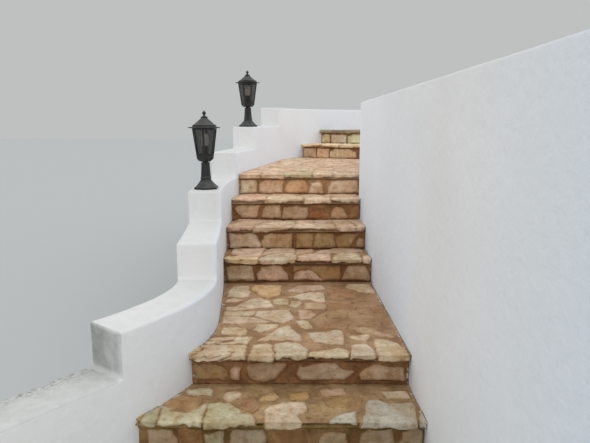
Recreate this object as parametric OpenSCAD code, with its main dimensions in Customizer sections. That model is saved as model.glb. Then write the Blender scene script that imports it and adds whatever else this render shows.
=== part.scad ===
// Winding garden steps between two rendered walls, with two pillar lanterns.
// X is to the right, Y goes up the stair and Z is up. The origin is on the ground,
// at the foot of the first riser, midway between the walls of the lower flight.

/* [Steps] */
// Rise from one tread to the next
rise = 165; // [140:1:190]
// Going of an ordinary tread, from riser face to riser face
going = 305; // [270:5:340]
// Going of the second tread, which is the lower landing
lower_landing = 1175; // [1000:5:1300]
// Thickness of the paving on every tread
paving_t = 45; // [30:1:60]
// How far the paving stands out past the riser below it
nosing = 35; // [15:1:50]
// Radius worn on the edges of a nosing
nosing_r = 13; // [5:1:14]
// Thickness of the stone facing on the risers
facing_t = 60; // [40:1:90]
// Heading of the two upper risers, clockwise from the lower ones, in degrees
upper_heading = 27; // [10:1:40]
// Mortar joint between the steps and the walls
wall_joint = 0.3; // [0.1:0.1:1]

/* [Plan of the stair] */
// Clear width at the head of the lower flight
flight_w = 1000; // [850:10:1200]
// How far the left wall flares out at the foot of the stair
foot_flare = 235; // [150:5:320]
// How far the flared wall starts in front of the first riser
foot_lead = 40; // [20:5:120]
// Distance from the first riser to the bend in the right wall
bend_y = 2215; // [2000:5:2400]
// Heading of the way out at the top, in degrees
exit_heading = 56; // [50:1:80]

/* [Walls] */
// Thickness of both walls
wall_t = 220; // [180:5:300]
// Height of the left wall where it leaves the gate
gate_wall_h = 364; // [300:1:450]
// Height of one step in the top of the left wall
course_h = 202; // [180:1:220]
// Height of the right wall at its front end
right_wall_h = 1606; // [1500:2:1900]
// How far the top of the right wall falls on its way to the bend
right_wall_fall = 34; // [0:2:60]
// Radius on the arrises of the render
arris_r = 12; // [8:1:30]

/* [Left wall blocks] */
// Length of the low block beside the gate
block_1_run = 1000; // [600:10:1300]
// Heading of the low block beside the gate, in degrees
block_1_heading = 38; // [25:1:45]
// Length of the flared stretch that starts the second block
flare_run = 400; // [300:10:500]
// Heading at the end of the flared stretch, in degrees
flare_heading = 26; // [20:1:35]
// Length of the rest of the second block
block_2_run = 450; // [350:10:550]
// Heading at the end of the second block, in degrees
block_2_heading = -4; // [-8:1:4]
// Length of the block beside the lower landing
block_3_run = 670; // [550:10:800]
// Heading at the end of the third block, in degrees
block_3_heading = -6; // [-10:1:0]
// Length of the block that carries the lower lantern
block_4_run = 930; // [800:10:1050]
// Heading at the end of the fourth block, in degrees
block_4_heading = 6.5; // [0:0.5:12]
// Length of the fifth block
block_5_run = 660; // [500:10:800]
// Heading at the end of the fifth block, in degrees
block_5_heading = 12; // [5:0.5:14]
// Length of the block that carries the upper lantern
block_6_run = 1060; // [900:10:1200]
// Heading at the end of the sixth block, in degrees
block_6_heading = 10; // [8:1:20]
// Length along the wall from the sixth block to the seventh riser
block_7_run = 650; // [500:10:700]
// Heading at the seventh riser, in degrees
block_7_heading = 38; // [25:1:45]
// Length along the wall from the seventh riser to the eighth
block_8_run = 325; // [280:5:400]

/* [Right wall runs] */
// Length from the front end of the right wall to its bend
front_run = 3450; // [2800:10:3600]
// How far the right wall is out of parallel with the flight, in degrees
front_splay = 1.3; // [0.1:0.1:3]
// Length of the right wall beside the upper landing
landing_run = 1830; // [1600:10:2000]
// Heading of the right wall beside the upper landing, in degrees
landing_heading = 14.3; // [8:0.1:20]
// Length of the right wall beside the way out
exit_run = 1100; // [900:10:1300]
// Length of arc that rounds each bend
bend_arc = 120; // [60:10:200]

/* [Lanterns] */
// Width of a lantern's foot across its corners
foot_w = 176; // [150:1:190]
// Thickness of the flange around the foot
flange_h = 15; // [12:1:30]
// Height of the foot from the wall to its collar
foot_h = 74; // [60:1:90]
// Width of the post at its collar, across its corners
post_w = 72; // [55:1:85]
// Height of the post from its collar to the bowl
post_h = 106; // [80:1:160]
// Height of the bowl under the glass
bowl_h = 40; // [30:1:55]
// Width of the glass cage at its foot, across its corners
cage_foot_w = 126; // [110:1:150]
// Width of the glass cage at its head, across its corners
cage_head_w = 180; // [160:1:195]
// Height of the glass cage
cage_h = 188; // [150:1:220]
// Width of the glazing bars
bar_w = 8; // [6:1:16]
// Thickness of the cage's metal
cage_t = 4; // [3:0.5:6]
// Thickness of the glass
glass_t = 3; // [2:0.5:4]
// Width of the roof's brim, across its corners
brim_w = 232; // [215:1:250]
// Height of the roof from its brim to its cap
roof_h = 75; // [60:1:95]
// Height of the finial
finial_h = 46; // [40:1:60]
// Height of the lamp holder inside the cage
holder_h = 72; // [50:1:85]
// Height of the bulb on its holder
bulb_h = 84; // [60:1:90]
// Distance from the front of its block to the middle of a lantern
lantern_set_back = 150; // [120:5:250]

/* [Hidden] */

stone_colour = [0.80, 0.68, 0.52];
riser_colour = [0.72, 0.56, 0.40];
mortar_colour = [0.50, 0.40, 0.31];
render_colour = [0.86, 0.87, 0.88];
metal_colour = [0.13, 0.13, 0.14];
glass_colour = [0.35, 0.34, 0.32, 0.6];
lamp_colour = [0.93, 0.92, 0.88];

steps = 8;
left_blocks = 8;
lower_block = 4;       // the blocks that carry the lanterns, and how each one is turned
upper_block = 6;
lower_turn = 32;
upper_turn = 4;
reach = 9000;          // longer than the stair, for cutting planes
arc_step = 2.5;        // degrees of turn between two sections of a curved wall
section_gap = 260;     // the longest stretch between two sections of a wall
round_n = 3;           // facets on a quarter round
fit = 0.2;             // gap between pieces that are only set together

// A heading is in degrees, clockwise from +Y. along() points that way and
// right_of() points to the right of it.
function along(h) = [sin(h), cos(h)];
function right_of(h) = [cos(h), -sin(h)];

// Length of an arc over its chord, when it turns from heading h0 to h1.
function arc_over_chord(h0, h1) =
    let (half = (h1 - h0) / 2) half == 0 ? 1 : (half * PI / 180) / sin(half);

// Where a walk from p ends that turns evenly from heading h0 to h1 over a length.
function walk(p, h0, h1, length) = p + along((h0 + h1) / 2) * length / arc_over_chord(h0, h1);

// The same walk as a list of [point, heading], close enough together for the turn.
function sections(p, h0, h1, length) =
    let (n = max(1, ceil(abs(h1 - h0) / arc_step), ceil(length / section_gap)))
    [for (i = [0:n]) let (h = h0 + (h1 - h0) * i / n) [walk(p, h0, h, length * i / n), h]];

// The arc that joins two points, given its headings at both.
function arc_between(p, q, h0, h1) = sections(p, h0, h1, norm(q - p) * arc_over_chord(h0, h1));

// Two walks as one. The second one starts where the first one ends.
function join(a, b) = concat(a, [for (i = [1:1:len(b) - 1]) b[i]]);
function reversed(list) = [for (i = [len(list) - 1:-1:0]) list[i]];

// The left wall's inner face, in stretches that each turn evenly. There is one heading
// more than there are lengths.
left_headings = [
    block_1_heading, block_1_heading, flare_heading, block_2_heading, block_3_heading,
    block_4_heading, block_5_heading, block_6_heading, block_7_heading, exit_heading
];
left_lengths = [
    block_1_run, flare_run, block_2_run, block_3_run, block_4_run,
    block_5_run, block_6_run, block_7_run, block_8_run
];
foot_corner = [-flight_w / 2 - foot_flare, -foot_lead];
function left_joint(i) =
    i == 0 ? foot_corner - along(block_1_heading) * block_1_run :
    walk(left_joint(i - 1), left_headings[i - 1], left_headings[i], left_lengths[i - 1]);
function left_stretch(i) =
    sections(left_joint(i), left_headings[i], left_headings[i + 1], left_lengths[i]);

// The right wall's inner face bends twice.
bend_1 = [flight_w / 2, bend_y];
bend_2 = bend_1 + along(landing_heading) * landing_run;
right_start = bend_1 - along(-front_splay) * front_run;
right_end = bend_2 + along(exit_heading) * exit_run;
bend_1_in = bend_1 - along(-front_splay) * bend_arc / 2;
bend_1_out = bend_1 + along(landing_heading) * bend_arc / 2;
bend_2_in = bend_2 - along(landing_heading) * bend_arc;
bend_2_out = bend_2 + along(exit_heading) * bend_arc;

// The two upper risers start from these joints. The left wall stops level with the right
// wall's end.
riser_7_start = left_joint(8);
riser_8_start = left_joint(9);
left_end_run = (right_end - riser_8_start) * along(exit_heading);

// Each wall as the runs of its blocks.
left_runs = [
    left_stretch(0),
    join(left_stretch(1), left_stretch(2)),
    left_stretch(3),
    left_stretch(4),
    left_stretch(5),
    left_stretch(6),
    join(left_stretch(7), left_stretch(8)),
    sections(riser_8_start, exit_heading, exit_heading, left_end_run)
];
right_runs = [
    join(sections(right_start, -front_splay, -front_splay, norm(bend_1_in - right_start)),
         arc_between(bend_1_in, bend_1_out, -front_splay, landing_heading)),
    join(sections(bend_1_out, landing_heading, landing_heading, norm(bend_2_in - bend_1_out)),
         arc_between(bend_2_in, bend_2_out, landing_heading, exit_heading)),
    sections(bend_2_out, exit_heading, exit_heading, norm(right_end - bend_2_out))
];

// Top of each block of the left wall. The last two blocks are level with each other.
function left_top(block) = gate_wall_h + course_h * (min(block, left_blocks - 1) - 1);

// Level of each tread, and the line of each riser as [point, heading].
function level(step) = rise * step;
function riser_line(step) =
    step <= 2 ? [[0, going * (step - 1)], 0] :
    step <= 6 ? [[0, lower_landing + going * (step - 2)], 0] :
    step == 7 ? [riser_7_start, upper_heading] : [riser_8_start, upper_heading];

// The floor between the two walls, a joint's width inside them.
module stair_floor() {
    left = [for (run = left_runs) for (s = run) s[0] + right_of(s[1]) * wall_joint];
    right = [for (run = right_runs) for (s = run) s[0] - right_of(s[1]) * wall_joint];
    polygon(concat(left, reversed(right)));
}

// Everything further up the stair than a riser's line moved by an offset.
module beyond(step, offset) {
    line = riser_line(step);
    translate([line[0][0], line[0][1], -reach / 2]) rotate(-line[1])
        translate([-reach, offset, 0]) cube([2 * reach, reach, reach]);
}

// Outline of the paving, looking along its nosing: a worn front edge and a long back.
function paving_outline(z_top) =
    let (front = -nosing + nosing_r, upper = z_top - nosing_r, lower = z_top - paving_t + nosing_r)
    concat(
        [[reach, z_top]],
        [for (i = [0:round_n]) let (a = 90 + 90 * i / round_n)
            [front + nosing_r * cos(a), upper + nosing_r * sin(a)]],
        [for (i = [0:round_n]) let (a = 180 + 90 * i / round_n)
            [front + nosing_r * cos(a), lower + nosing_r * sin(a)]],
        [[reach, z_top - paving_t]]);

module tread(step) {
    line = riser_line(step);
    color(stone_colour) difference() {
        intersection() {
            translate([0, 0, level(step) - paving_t]) linear_extrude(paving_t) stair_floor();
            translate([line[0][0], line[0][1], 0]) rotate(-line[1])
                rotate([90, 0, 90]) linear_extrude(2 * reach, center = true)
                    polygon(paving_outline(level(step)));
        }
        if (step < steps) beyond(step + 1, 0);
    }
}

module riser(step) {
    z0 = step == 1 ? 0 : level(step - 1) - paving_t;
    color(riser_colour) difference() {
        intersection() {
            translate([0, 0, z0]) linear_extrude(level(step) - paving_t - z0) stair_floor();
            beyond(step, 0);
        }
        beyond(step, facing_t);
    }
}

// Rubble and mortar under the steps from first to last, down to the ground. The fill of
// each step runs on under the next ones, so the blocks overlap and can't part at a face.
module core(first, last) {
    color(mortar_colour) difference() {
        union() for (step = [first:last]) intersection() {
            linear_extrude(level(step) - paving_t) stair_floor();
            beyond(step, facing_t);
        }
        if (last < steps) beyond(last + 1, facing_t);
    }
}

// Section of a wall with rounded arrises, as [distance from the inner face, height].
function wall_section(top) =
    let (round_over = [for (i = [0:round_n]) let (a = 90 * i / round_n)
        [arris_r * (1 - cos(a)), top - arris_r * (1 - sin(a))]])
    concat([[0, 0]], round_over, [for (p = reversed(round_over)) [wall_t - p[0], p[1]]], [[wall_t, 0]]);

// A wall along a run, with its top going evenly from one height to another. side is -1
// for the left wall and 1 for the right one. A free front end has its top edge rounded.
module wall(run, top_0, top_1, side, free_front) {
    first = run[0];
    ahead = along(first[1]);
    full = norm(run[len(run) - 1][0] - first[0]);
    ease = [for (i = [0:round_n]) let (a = 90 * i / round_n)
        [first[0] + ahead * arris_r * (1 - cos(a)), first[1], arris_r * (1 - sin(a))]];
    rest = [for (s = run) [s[0], s[1], 0]];
    stations = free_front ? join(ease, rest) : rest;
    n = len(wall_section(top_0));
    m = len(stations);
    points = [for (s = stations)
        let (top = top_0 + (top_1 - top_0) * norm(s[0] - first[0]) / full - s[2])
        for (q = wall_section(top))
            let (p = s[0] + right_of(s[1]) * q[0] * side) [p[0], p[1], q[1]]];
    walls = [for (i = [0:m - 2]) for (j = [0:n - 1])
        let (k = (j + 1) % n) [i * n + j, i * n + k, (i + 1) * n + k, (i + 1) * n + j]];
    ends = [[for (j = [n - 1:-1:0]) j], [for (j = [0:n - 1]) (m - 1) * n + j]];
    faces = concat(walls, ends);
    color(render_colour)
        polyhedron(points, side > 0 ? [for (f = faces) reversed(f)] : faces);
}

module left_wall(block)
    wall(left_runs[block - 1], left_top(block), left_top(block), -1, block < left_blocks);

module right_wall(part) {
    bend_top = right_wall_h - right_wall_fall;
    wall(right_runs[part - 1], part == 1 ? right_wall_h : bend_top, bend_top, 1, part == 1);
}

// Heights within a lantern, above the wall that it stands on.
post_top = foot_h + post_h;
cage_foot = post_top + bowl_h;
cage_head = cage_foot + cage_h;

// A six-sided turning of an outline. The outline's radii are to the corners.
module six_sided(outline) rotate_extrude($fn = 6) polygon(outline);

// Flange, flared foot, collar, post and bowl, cast in one.
module pedestal() {
    rim = foot_w / 2;
    post = post_w / 2;
    bowl = cage_foot_w / 2;
    neck = post * 0.55;
    collar = 4;
    edge = 4;
    flare_n = 6;
    flare_power = 1.4;
    bowl_n = 4;
    color(metal_colour) six_sided(concat(
        [[0, 0], [rim - edge, 0], [rim, edge], [rim, flange_h - edge], [rim - edge, flange_h]],
        [for (i = [0:flare_n]) let (t = i / flare_n)
            [post + (rim - 2 * edge - post) * pow(1 - t, flare_power),
             flange_h + 1 + (foot_h - collar - flange_h - 1) * t]],
        [[post + collar, foot_h - collar], [post + collar, foot_h + collar], [post, foot_h + 2 * collar],
         [post * 0.84, post_top - 3 * collar], [post * 0.92, post_top - 2 * collar],
         [post * 0.92, post_top - collar], [neck, post_top]],
        [for (i = [0:bowl_n]) let (a = 90 * i / bowl_n)
            [neck + (bowl - neck) * sin(a), cage_foot - 5 - (bowl_h - 8) * cos(a)]],
        [[bowl, cage_foot], [0, cage_foot]]));
}

// Radius of the cage to its corners, at a height above its foot.
function cage_r(z) = cage_foot_w / 2 + (cage_head_w - cage_foot_w) / 2 * z / cage_h;

// Six bars between a foot ring and a head ring, with a pane's gap cut between each two.
module cage() {
    ring_h = 12;
    head = cage_h - ring_h;
    half_0 = cage_r(ring_h) / 2 - bar_w;
    half_1 = cage_r(head) / 2 - bar_w;
    color(metal_colour) translate([0, 0, cage_foot]) difference() {
        six_sided([[cage_r(0) - cage_t, 0], [cage_r(0), 0],
                   [cage_r(cage_h), cage_h], [cage_r(cage_h) - cage_t, cage_h]]);
        for (i = [0:5]) rotate(30 + 60 * i) rotate([90, 0, 90]) linear_extrude(cage_r(cage_h))
            polygon([[-half_0, ring_h], [half_0, ring_h], [half_1, head], [-half_1, head]]);
    }
}

// Six panes as one shell behind the cage's bars.
module glass() {
    inset = cage_t + fit;
    lip = 1;
    color(glass_colour) translate([0, 0, cage_foot]) six_sided([
        [cage_r(0) - inset - glass_t, lip], [cage_r(0) - inset, lip],
        [cage_r(cage_h) - inset, cage_h - lip], [cage_r(cage_h) - inset - glass_t, cage_h - lip]]);
}

// A brim, a low curb, a hipped roof over it and a cap with a lip.
module roof() {
    brim = brim_w / 2;
    brim_t = 6;
    eave = cage_head_w / 2 - 2;
    curb = eave - 4;
    curb_h = 21;
    ledge = 10;
    cap = 20;
    lip = 3;
    color(metal_colour) translate([0, 0, cage_head]) six_sided([
        [0, 0], [brim - brim_t, 0], [brim, brim_t / 2], [brim, brim_t], [eave, brim_t + lip],
        [curb, curb_h], [curb - ledge, curb_h + lip], [cap + lip, roof_h - 3 * lip],
        [cap + 2 * lip, roof_h - 2 * lip], [cap + 2 * lip, roof_h - lip], [cap, roof_h], [0, roof_h]]);
}

// A collar, a ball and a point.
module finial() {
    ball_z = finial_h * 0.52;
    ball_r = 13;
    ball_n = 6;
    foot_r = 15;
    color(metal_colour) translate([0, 0, cage_head + roof_h]) rotate_extrude($fn = 32) polygon(concat(
        [[0, 0], [foot_r, 0], [foot_r, 4], [foot_r / 2, 8]],
        [for (i = [1:ball_n - 1]) let (a = -90 + 180 * i / ball_n)
            [ball_r * cos(a), ball_z + ball_r * sin(a)]],
        [[3, ball_z + ball_r], [0, finial_h]]));
}

// A lamp holder on a round seat, with a long bulb.
module lamp() {
    holder_r = 20;
    bulb_r = 25;
    seat_r = 32;
    seat_h = 8;
    bulb_n = 8;
    bulb_taper = 0.12;
    color(lamp_colour) translate([0, 0, cage_foot]) rotate_extrude($fn = 24) polygon(concat(
        [[0, 0], [seat_r, 0], [seat_r, seat_h], [holder_r, 1.5 * seat_h], [holder_r, holder_h]],
        [for (i = [1:bulb_n]) let (t = i / bulb_n)
            [bulb_r * sqrt(1 - pow(2 * t - 1, 4)) * (1 - bulb_taper * t), holder_h + bulb_h * t]]));
}

// Places a lantern on a block's top, in the middle of the wall near the block's front.
module on_block(block, turn) {
    h0 = left_headings[block];
    h = h0 + (left_headings[block + 1] - h0) * lantern_set_back / left_lengths[block];
    p = walk(left_joint(block), h0, h, lantern_set_back) - right_of(h) * wall_t / 2;
    translate([p[0], p[1], left_top(block)]) rotate(turn) children();
}
module on_lower() on_block(lower_block, lower_turn) children();
module on_upper() on_block(upper_block, upper_turn) children();

tread(1);  // tread_1
tread(2);  // tread_2
tread(3);  // tread_3
tread(4);  // tread_4
tread(5);  // tread_5
tread(6);  // tread_6
tread(7);  // tread_7
tread(8);  // tread_8
riser(1);  // riser_1
riser(2);  // riser_2
riser(3);  // riser_3
riser(4);  // riser_4
riser(5);  // riser_5
riser(6);  // riser_6
riser(7);  // riser_7
riser(8);  // riser_8
core(1, 2);  // core_foot
core(3, 5);  // core_flight
core(6, 6);  // core_landing
core(7, 8);  // core_head
left_wall(1);  // left_wall_1
left_wall(2);  // left_wall_2
left_wall(3);  // left_wall_3
left_wall(4);  // left_wall_4
left_wall(5);  // left_wall_5
left_wall(6);  // left_wall_6
left_wall(7);  // left_wall_7
left_wall(8);  // left_wall_8
right_wall(1);  // right_wall_front
right_wall(2);  // right_wall_landing
right_wall(3);  // right_wall_exit
on_lower() pedestal();  // lower_lantern_pedestal
on_lower() cage();  // lower_lantern_cage
on_lower() glass();  // lower_lantern_glass
on_lower() roof();  // lower_lantern_roof
on_lower() finial();  // lower_lantern_finial
on_lower() lamp();  // lower_lantern_lamp
on_upper() pedestal();  // upper_lantern_pedestal
on_upper() cage();  // upper_lantern_cage
on_upper() glass();  // upper_lantern_glass
on_upper() roof();  // upper_lantern_roof
on_upper() finial();  // upper_lantern_finial
on_upper() lamp();  // upper_lantern_lamp
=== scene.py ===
# %% [markdown]
# # A winding garden stair
#
# The object is a flight of eight garden steps, paved with broken limestone and faced with
# rubble, that climbs between two smooth white walls. The left wall goes up in blocks and carries
# two six-sided lanterns. The measured model of the stair is already there as a frame: every
# piece has its true size and place. This file gives each piece its surface, so the frame is
# loaded first.

# %% Load the measured stair
import math
from types import SimpleNamespace

import bpy
import numpy as np
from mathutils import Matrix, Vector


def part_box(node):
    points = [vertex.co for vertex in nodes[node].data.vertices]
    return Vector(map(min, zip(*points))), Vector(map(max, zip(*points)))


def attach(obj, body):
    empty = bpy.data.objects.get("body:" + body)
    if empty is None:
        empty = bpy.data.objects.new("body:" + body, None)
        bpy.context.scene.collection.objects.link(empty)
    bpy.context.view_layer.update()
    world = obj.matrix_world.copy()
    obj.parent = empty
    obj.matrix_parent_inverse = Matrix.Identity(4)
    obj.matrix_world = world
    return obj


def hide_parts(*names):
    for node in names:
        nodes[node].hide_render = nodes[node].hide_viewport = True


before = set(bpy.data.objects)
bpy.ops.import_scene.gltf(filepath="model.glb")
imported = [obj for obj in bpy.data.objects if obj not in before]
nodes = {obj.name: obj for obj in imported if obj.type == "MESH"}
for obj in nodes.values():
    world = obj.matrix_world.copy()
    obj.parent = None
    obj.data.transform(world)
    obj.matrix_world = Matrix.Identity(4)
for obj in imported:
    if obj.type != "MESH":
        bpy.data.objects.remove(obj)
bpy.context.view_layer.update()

# %% [markdown]
# ## The viewer's eye
#
# The stair was seen from its foot, with the eye 1.42 m over the ground, looking slightly down and
# straight up the flight. The lens is worked out from the photograph's width and its focal
# length, both in pixels, because then every edge of the render can be compared with the same
# edge of the picture.

# %% Camera
PHOTO_WIDTH = 590
FOCAL_LENGTH = 540
SENSOR_WIDTH = 36
EYE = (-0.012, -2.135, 1.418)
LOOKING_DOWN = math.radians(10.44)

lens = bpy.data.cameras.new("eye")
lens.sensor_width = SENSOR_WIDTH
lens.lens = SENSOR_WIDTH * FOCAL_LENGTH / PHOTO_WIDTH
camera = bpy.data.objects.new("eye", lens)
camera.location = EYE
camera.rotation_euler = (math.radians(90) - LOOKING_DOWN, 0, 0)
bpy.context.collection.objects.link(camera)
bpy.context.scene.camera = camera
bpy.context.scene.view_settings.view_transform = "Standard"
print("lens:", round(lens.lens, 2), "mm")

# %% [markdown]
# ## Writing shaders as sums
#
# A finish is a formula: so much of one tone, plus a little of another where a noise is high.
# Blender holds such a formula as a net of nodes. Placing them one by one hides the formula, so
# a small class wraps a node's output and lets Python's own signs add the Math nodes. A second
# class holds one material, and its single method adds any other kind of node.

# %% A socket that can be added up
class Signal:
    """One number per point of a surface, as the output of a node. Plus, minus and times make
    Math nodes, whichever side the plain number stands on."""

    def __init__(self, finish, socket):
        self.finish = finish
        self.socket = socket

    def combine(self, operation, first, second):
        return self.finish.add("Math", {"operation": operation}, {0: first, 1: second})

    def __add__(self, other):
        return self.combine("ADD", self, other)

    def __radd__(self, other):
        return self.combine("ADD", other, self)

    def __sub__(self, other):
        return self.combine("SUBTRACT", self, other)

    def __rsub__(self, other):
        return self.combine("SUBTRACT", other, self)

    def __mul__(self, other):
        return self.combine("MULTIPLY", self, other)

    def __rmul__(self, other):
        return self.combine("MULTIPLY", other, self)


# %% A material under construction
class Finish:
    """A material whose nodes are added by one method. Sockets take numbers, tones or signals."""

    def __init__(self, name):
        self.material = bpy.data.materials.new(name)
        self.material.use_nodes = True
        self.nodes = self.material.node_tree.nodes
        self.links = self.material.node_tree.links
        self.shader = self.nodes["Principled BSDF"]
        self.place = self.add("TexCoord", give="Object")

    def feed(self, socket, value):
        """Links a signal to a socket, or sets a plain value on it."""
        if isinstance(value, Signal):
            self.links.new(value.socket, socket)
        else:
            socket.default_value = value

    def add(self, kind, settings=(), sockets=(), give=0):
        """Adds a node, sets its settings, then its sockets, and gives one of its outputs."""
        node = self.nodes.new("ShaderNode" + kind)
        for name, value in dict(settings).items():
            setattr(node, name, value)
        for name, value in dict(sockets).items():
            self.feed(node.inputs[name], value)
        return Signal(self, node.outputs[give])

    def noise(self, per_metre, detail=3.0, roughness=0.55):
        """Smooth random values round one half, with so many waves to the metre."""
        inputs = {"Vector": self.place, "Scale": per_metre, "Detail": detail, "Roughness": roughness}
        return self.add("TexNoise", sockets=inputs)

    def between(self, value, low, high, at_low=0.0, at_high=1.0):
        """Goes smoothly from one value to another as a signal goes from low to high."""
        inputs = {"Value": value, "From Min": low, "From Max": high, "To Min": at_low, "To Max": at_high}
        return self.add("MapRange", {"interpolation_type": "SMOOTHSTEP"}, inputs)

    def mix(self, share, tone, other, mode="MIX"):
        """A tone that goes over to another as the share goes from 0 to 1."""
        settings = {"data_type": "RGBA", "blend_type": mode}
        return self.add("Mix", settings, {0: share, 6: tone, 7: other}, give=2)

    def painted(self, name, give="Color"):
        """An attribute that was stored on the mesh."""
        return self.add("Attribute", {"attribute_name": name}, give=give)

    def bump(self, height, distance, normal=None):
        """Raises the surface in the shader by a height from 0 to 1 times a distance in metres."""
        inputs = {"Height": height, "Distance": distance}
        if normal is not None:
            inputs["Normal"] = normal
        return self.add("Bump", sockets=inputs)

    def wear(self, **values):
        """Sets the shader's own sockets and gives back the finished material."""
        for name, value in values.items():
            self.feed(self.shader.inputs[name.replace("_", " ")], value)
        return self.material


def tone(name):
    """A tone written as six hex digits, as the linear colour that Blender works in."""
    share = np.array([int(name[i:i + 2], 16) for i in (0, 2, 4)]) / 255
    linear = np.where(share <= 0.04045, share / 12.92, ((share + 0.055) / 1.055) ** 2.4)
    return (*linear.tolist(), 1.0)


print("white render is", [round(part, 2) for part in tone("e9eaeb")[:3]], "in linear light")

# %% [markdown]
# ## Floor and daylight
#
# The stair was seen under a bright grey sky, which lights a surface from all over. A pale world
# does the same, and one very soft lamp adds the little form that even a grey day has. The floor
# is pale and only there to take the shadow. The camera sees the
# world as a plain pale tone, and so do glass and metal.

# %% Floor
FLOOR_HALF = 45.0
FLOOR_DROP = 0.001

floor_finish = Finish("pale_floor")
floor_tone = floor_finish.mix(floor_finish.noise(6.0) * 0.3, tone("b3b6b5"), tone("afb2b1"))
floor_finish.wear(Base_Color=floor_tone, Roughness=0.9)
corners = np.array([(-1, -1, 0), (1, -1, 0), (1, 1, 0), (-1, 1, 0)]) * FLOOR_HALF
floor_mesh = bpy.data.meshes.new("floor")
floor_mesh.from_pydata((corners - (0, 0, FLOOR_DROP)).tolist(), [], [(0, 1, 2, 3)])
floor_mesh.materials.append(floor_finish.material)
floor = bpy.data.objects.new("floor", floor_mesh)
bpy.context.collection.objects.link(floor)
print("floor:", 2 * FLOOR_HALF, "m wide")

# %% Sky and lamp
SKY_STRENGTH = 1.03
SKY_TINT = (0.963, 0.98, 1.0, 1.0)
BACKDROP = tone("bec1c0")
LAMP_STRENGTH = 0.45
LAMP_SPREAD = math.radians(60)
LAMP_TURN = (math.radians(4), math.radians(40), 0)

sky = bpy.data.worlds.new("grey_sky")
sky.use_nodes = True
bpy.context.scene.world = sky
sky_nodes = sky.node_tree.nodes
link = sky.node_tree.links.new
sky_light = sky_nodes["Background"]
sky_seen = sky_nodes.new("ShaderNodeBackground")
for background, tint, strength in ((sky_light, SKY_TINT, SKY_STRENGTH), (sky_seen, BACKDROP, 1.0)):
    background.inputs["Color"].default_value = tint
    background.inputs["Strength"].default_value = strength
rays = sky_nodes.new("ShaderNodeLightPath")
seen = rays.outputs["Is Camera Ray"]
for ray in ("Is Glossy Ray", "Is Transmission Ray"):
    either = sky_nodes.new("ShaderNodeMath")
    either.operation = "MAXIMUM"
    link(seen, either.inputs[0])
    link(rays.outputs[ray], either.inputs[1])
    seen = either.outputs[0]
choice = sky_nodes.new("ShaderNodeMixShader")
for socket, source in zip(choice.inputs, (seen, sky_light.outputs[0], sky_seen.outputs[0])):
    link(source, socket)
link(choice.outputs[0], sky_nodes["World Output"].inputs["Surface"])

lamp = bpy.data.lights.new("soft_daylight", "SUN")
lamp.energy = LAMP_STRENGTH
lamp.angle = LAMP_SPREAD
lamp_object = bpy.data.objects.new("soft_daylight", lamp)
lamp_object.rotation_euler = LAMP_TURN
bpy.context.collection.objects.link(lamp_object)
print("sky strength:", SKY_STRENGTH, " lamp:", LAMP_STRENGTH)

# %% [markdown]
# ## The two courses on the ground
#
# Each wall follows a line on the ground, the foot of its inner face. The line is a chain of
# stretches that each turn evenly, so it has no kinks, only changes of turn. An evenly turning
# stretch is an arc, and the straight step from its start to any point on it has a simple form:
# it goes in the mean of the two headings, and it is as long as the walk times sin(x)/x, where x
# is half the turn. The lengths and headings are those of the measured model.

# %% Points along a course
def along(heading):
    """The unit step towards a heading, in degrees clockwise from +Y."""
    turn = np.radians(heading)
    return np.stack([np.sin(turn), np.cos(turn)], axis=-1)


def right_of(heading):
    """The unit step to the right of a heading."""
    turn = np.radians(heading)
    return np.stack([np.cos(turn), -np.sin(turn)], axis=-1)


def step_of(first, last, length):
    """The straight step under a walk that turns evenly from the first heading to the last."""
    half = np.radians(np.subtract(last, first)) / 2
    reach = np.asarray(length) * np.sinc(half / np.pi)
    return along((np.asarray(first) + last) / 2) * reach[..., None]


print("a quarter turn over 1 m steps", np.round(step_of(0, 90, 1.0), 3).tolist(), "m")

# %% A line on the ground
SAMPLES = 6000


class Course:
    """A line on the ground, made of stretches (first heading, last heading, length)."""

    def __init__(self, start, stretches):
        self.stretches = np.array(stretches, dtype=float)
        self.marks = np.concatenate([[0], np.cumsum(self.stretches[:, 2])])
        steps = step_of(*self.stretches.T)
        self.corners = np.concatenate([[start], np.add(start, np.cumsum(steps, axis=0))])
        self.length = self.marks[-1]

    def at(self, walked):
        """Points and headings after walking so far: the start of the stretch, plus its step."""
        walked = np.asarray(walked, dtype=float)
        which = np.searchsorted(self.marks, walked, side="right") - 1
        which = np.clip(which, 0, len(self.stretches) - 1)
        first, last, length = np.moveaxis(self.stretches[which], -1, 0)
        done = walked - self.marks[which]
        heading = first + (last - first) * done / length
        return self.corners[which] + step_of(first, heading, done), heading

    def meets(self, line, offset=0.0):
        """How far along the course it crosses a line (point, heading), moved ahead by offset."""
        walked = np.linspace(0, self.length, SAMPLES)
        ahead = (self.at(walked)[0] - line[0]) @ along(line[1])
        return np.interp(offset, ahead, walked)


# %% The left and the right course
FLIGHT_WIDTH = 1.0
FOOT_FLARE = 0.235
FOOT_LEAD = 0.04
EXIT_HEADING = 56.0
LEFT_STRETCHES = [
    (38, 38, 1.0), (38, 26, 0.4), (26, -4, 0.45), (-4, -6, 0.67), (-6, 6.5, 0.93),
    (6.5, 12, 0.66), (12, 10, 1.06), (10, 38, 0.65), (38, EXIT_HEADING, 0.325),
]
BEND_1 = np.array([FLIGHT_WIDTH / 2, 2.215])
FRONT_HEADING = -1.3
FRONT_RUN = 3.45
LANDING_HEADING = 14.3
LANDING_RUN = 1.83
EXIT_RUN = 1.1
BEND_ARC = 0.12


def arc_between(before, after, lead):
    """An arc from one heading to another that starts and ends so far from the corner it rounds:
    its length is the chord's length times x/sin(x), where x is half the turn."""
    chord = np.linalg.norm(along(before) * lead + along(after) * lead)
    half = np.radians(after - before) / 2
    return before, after, chord * half / np.sin(half)


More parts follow.
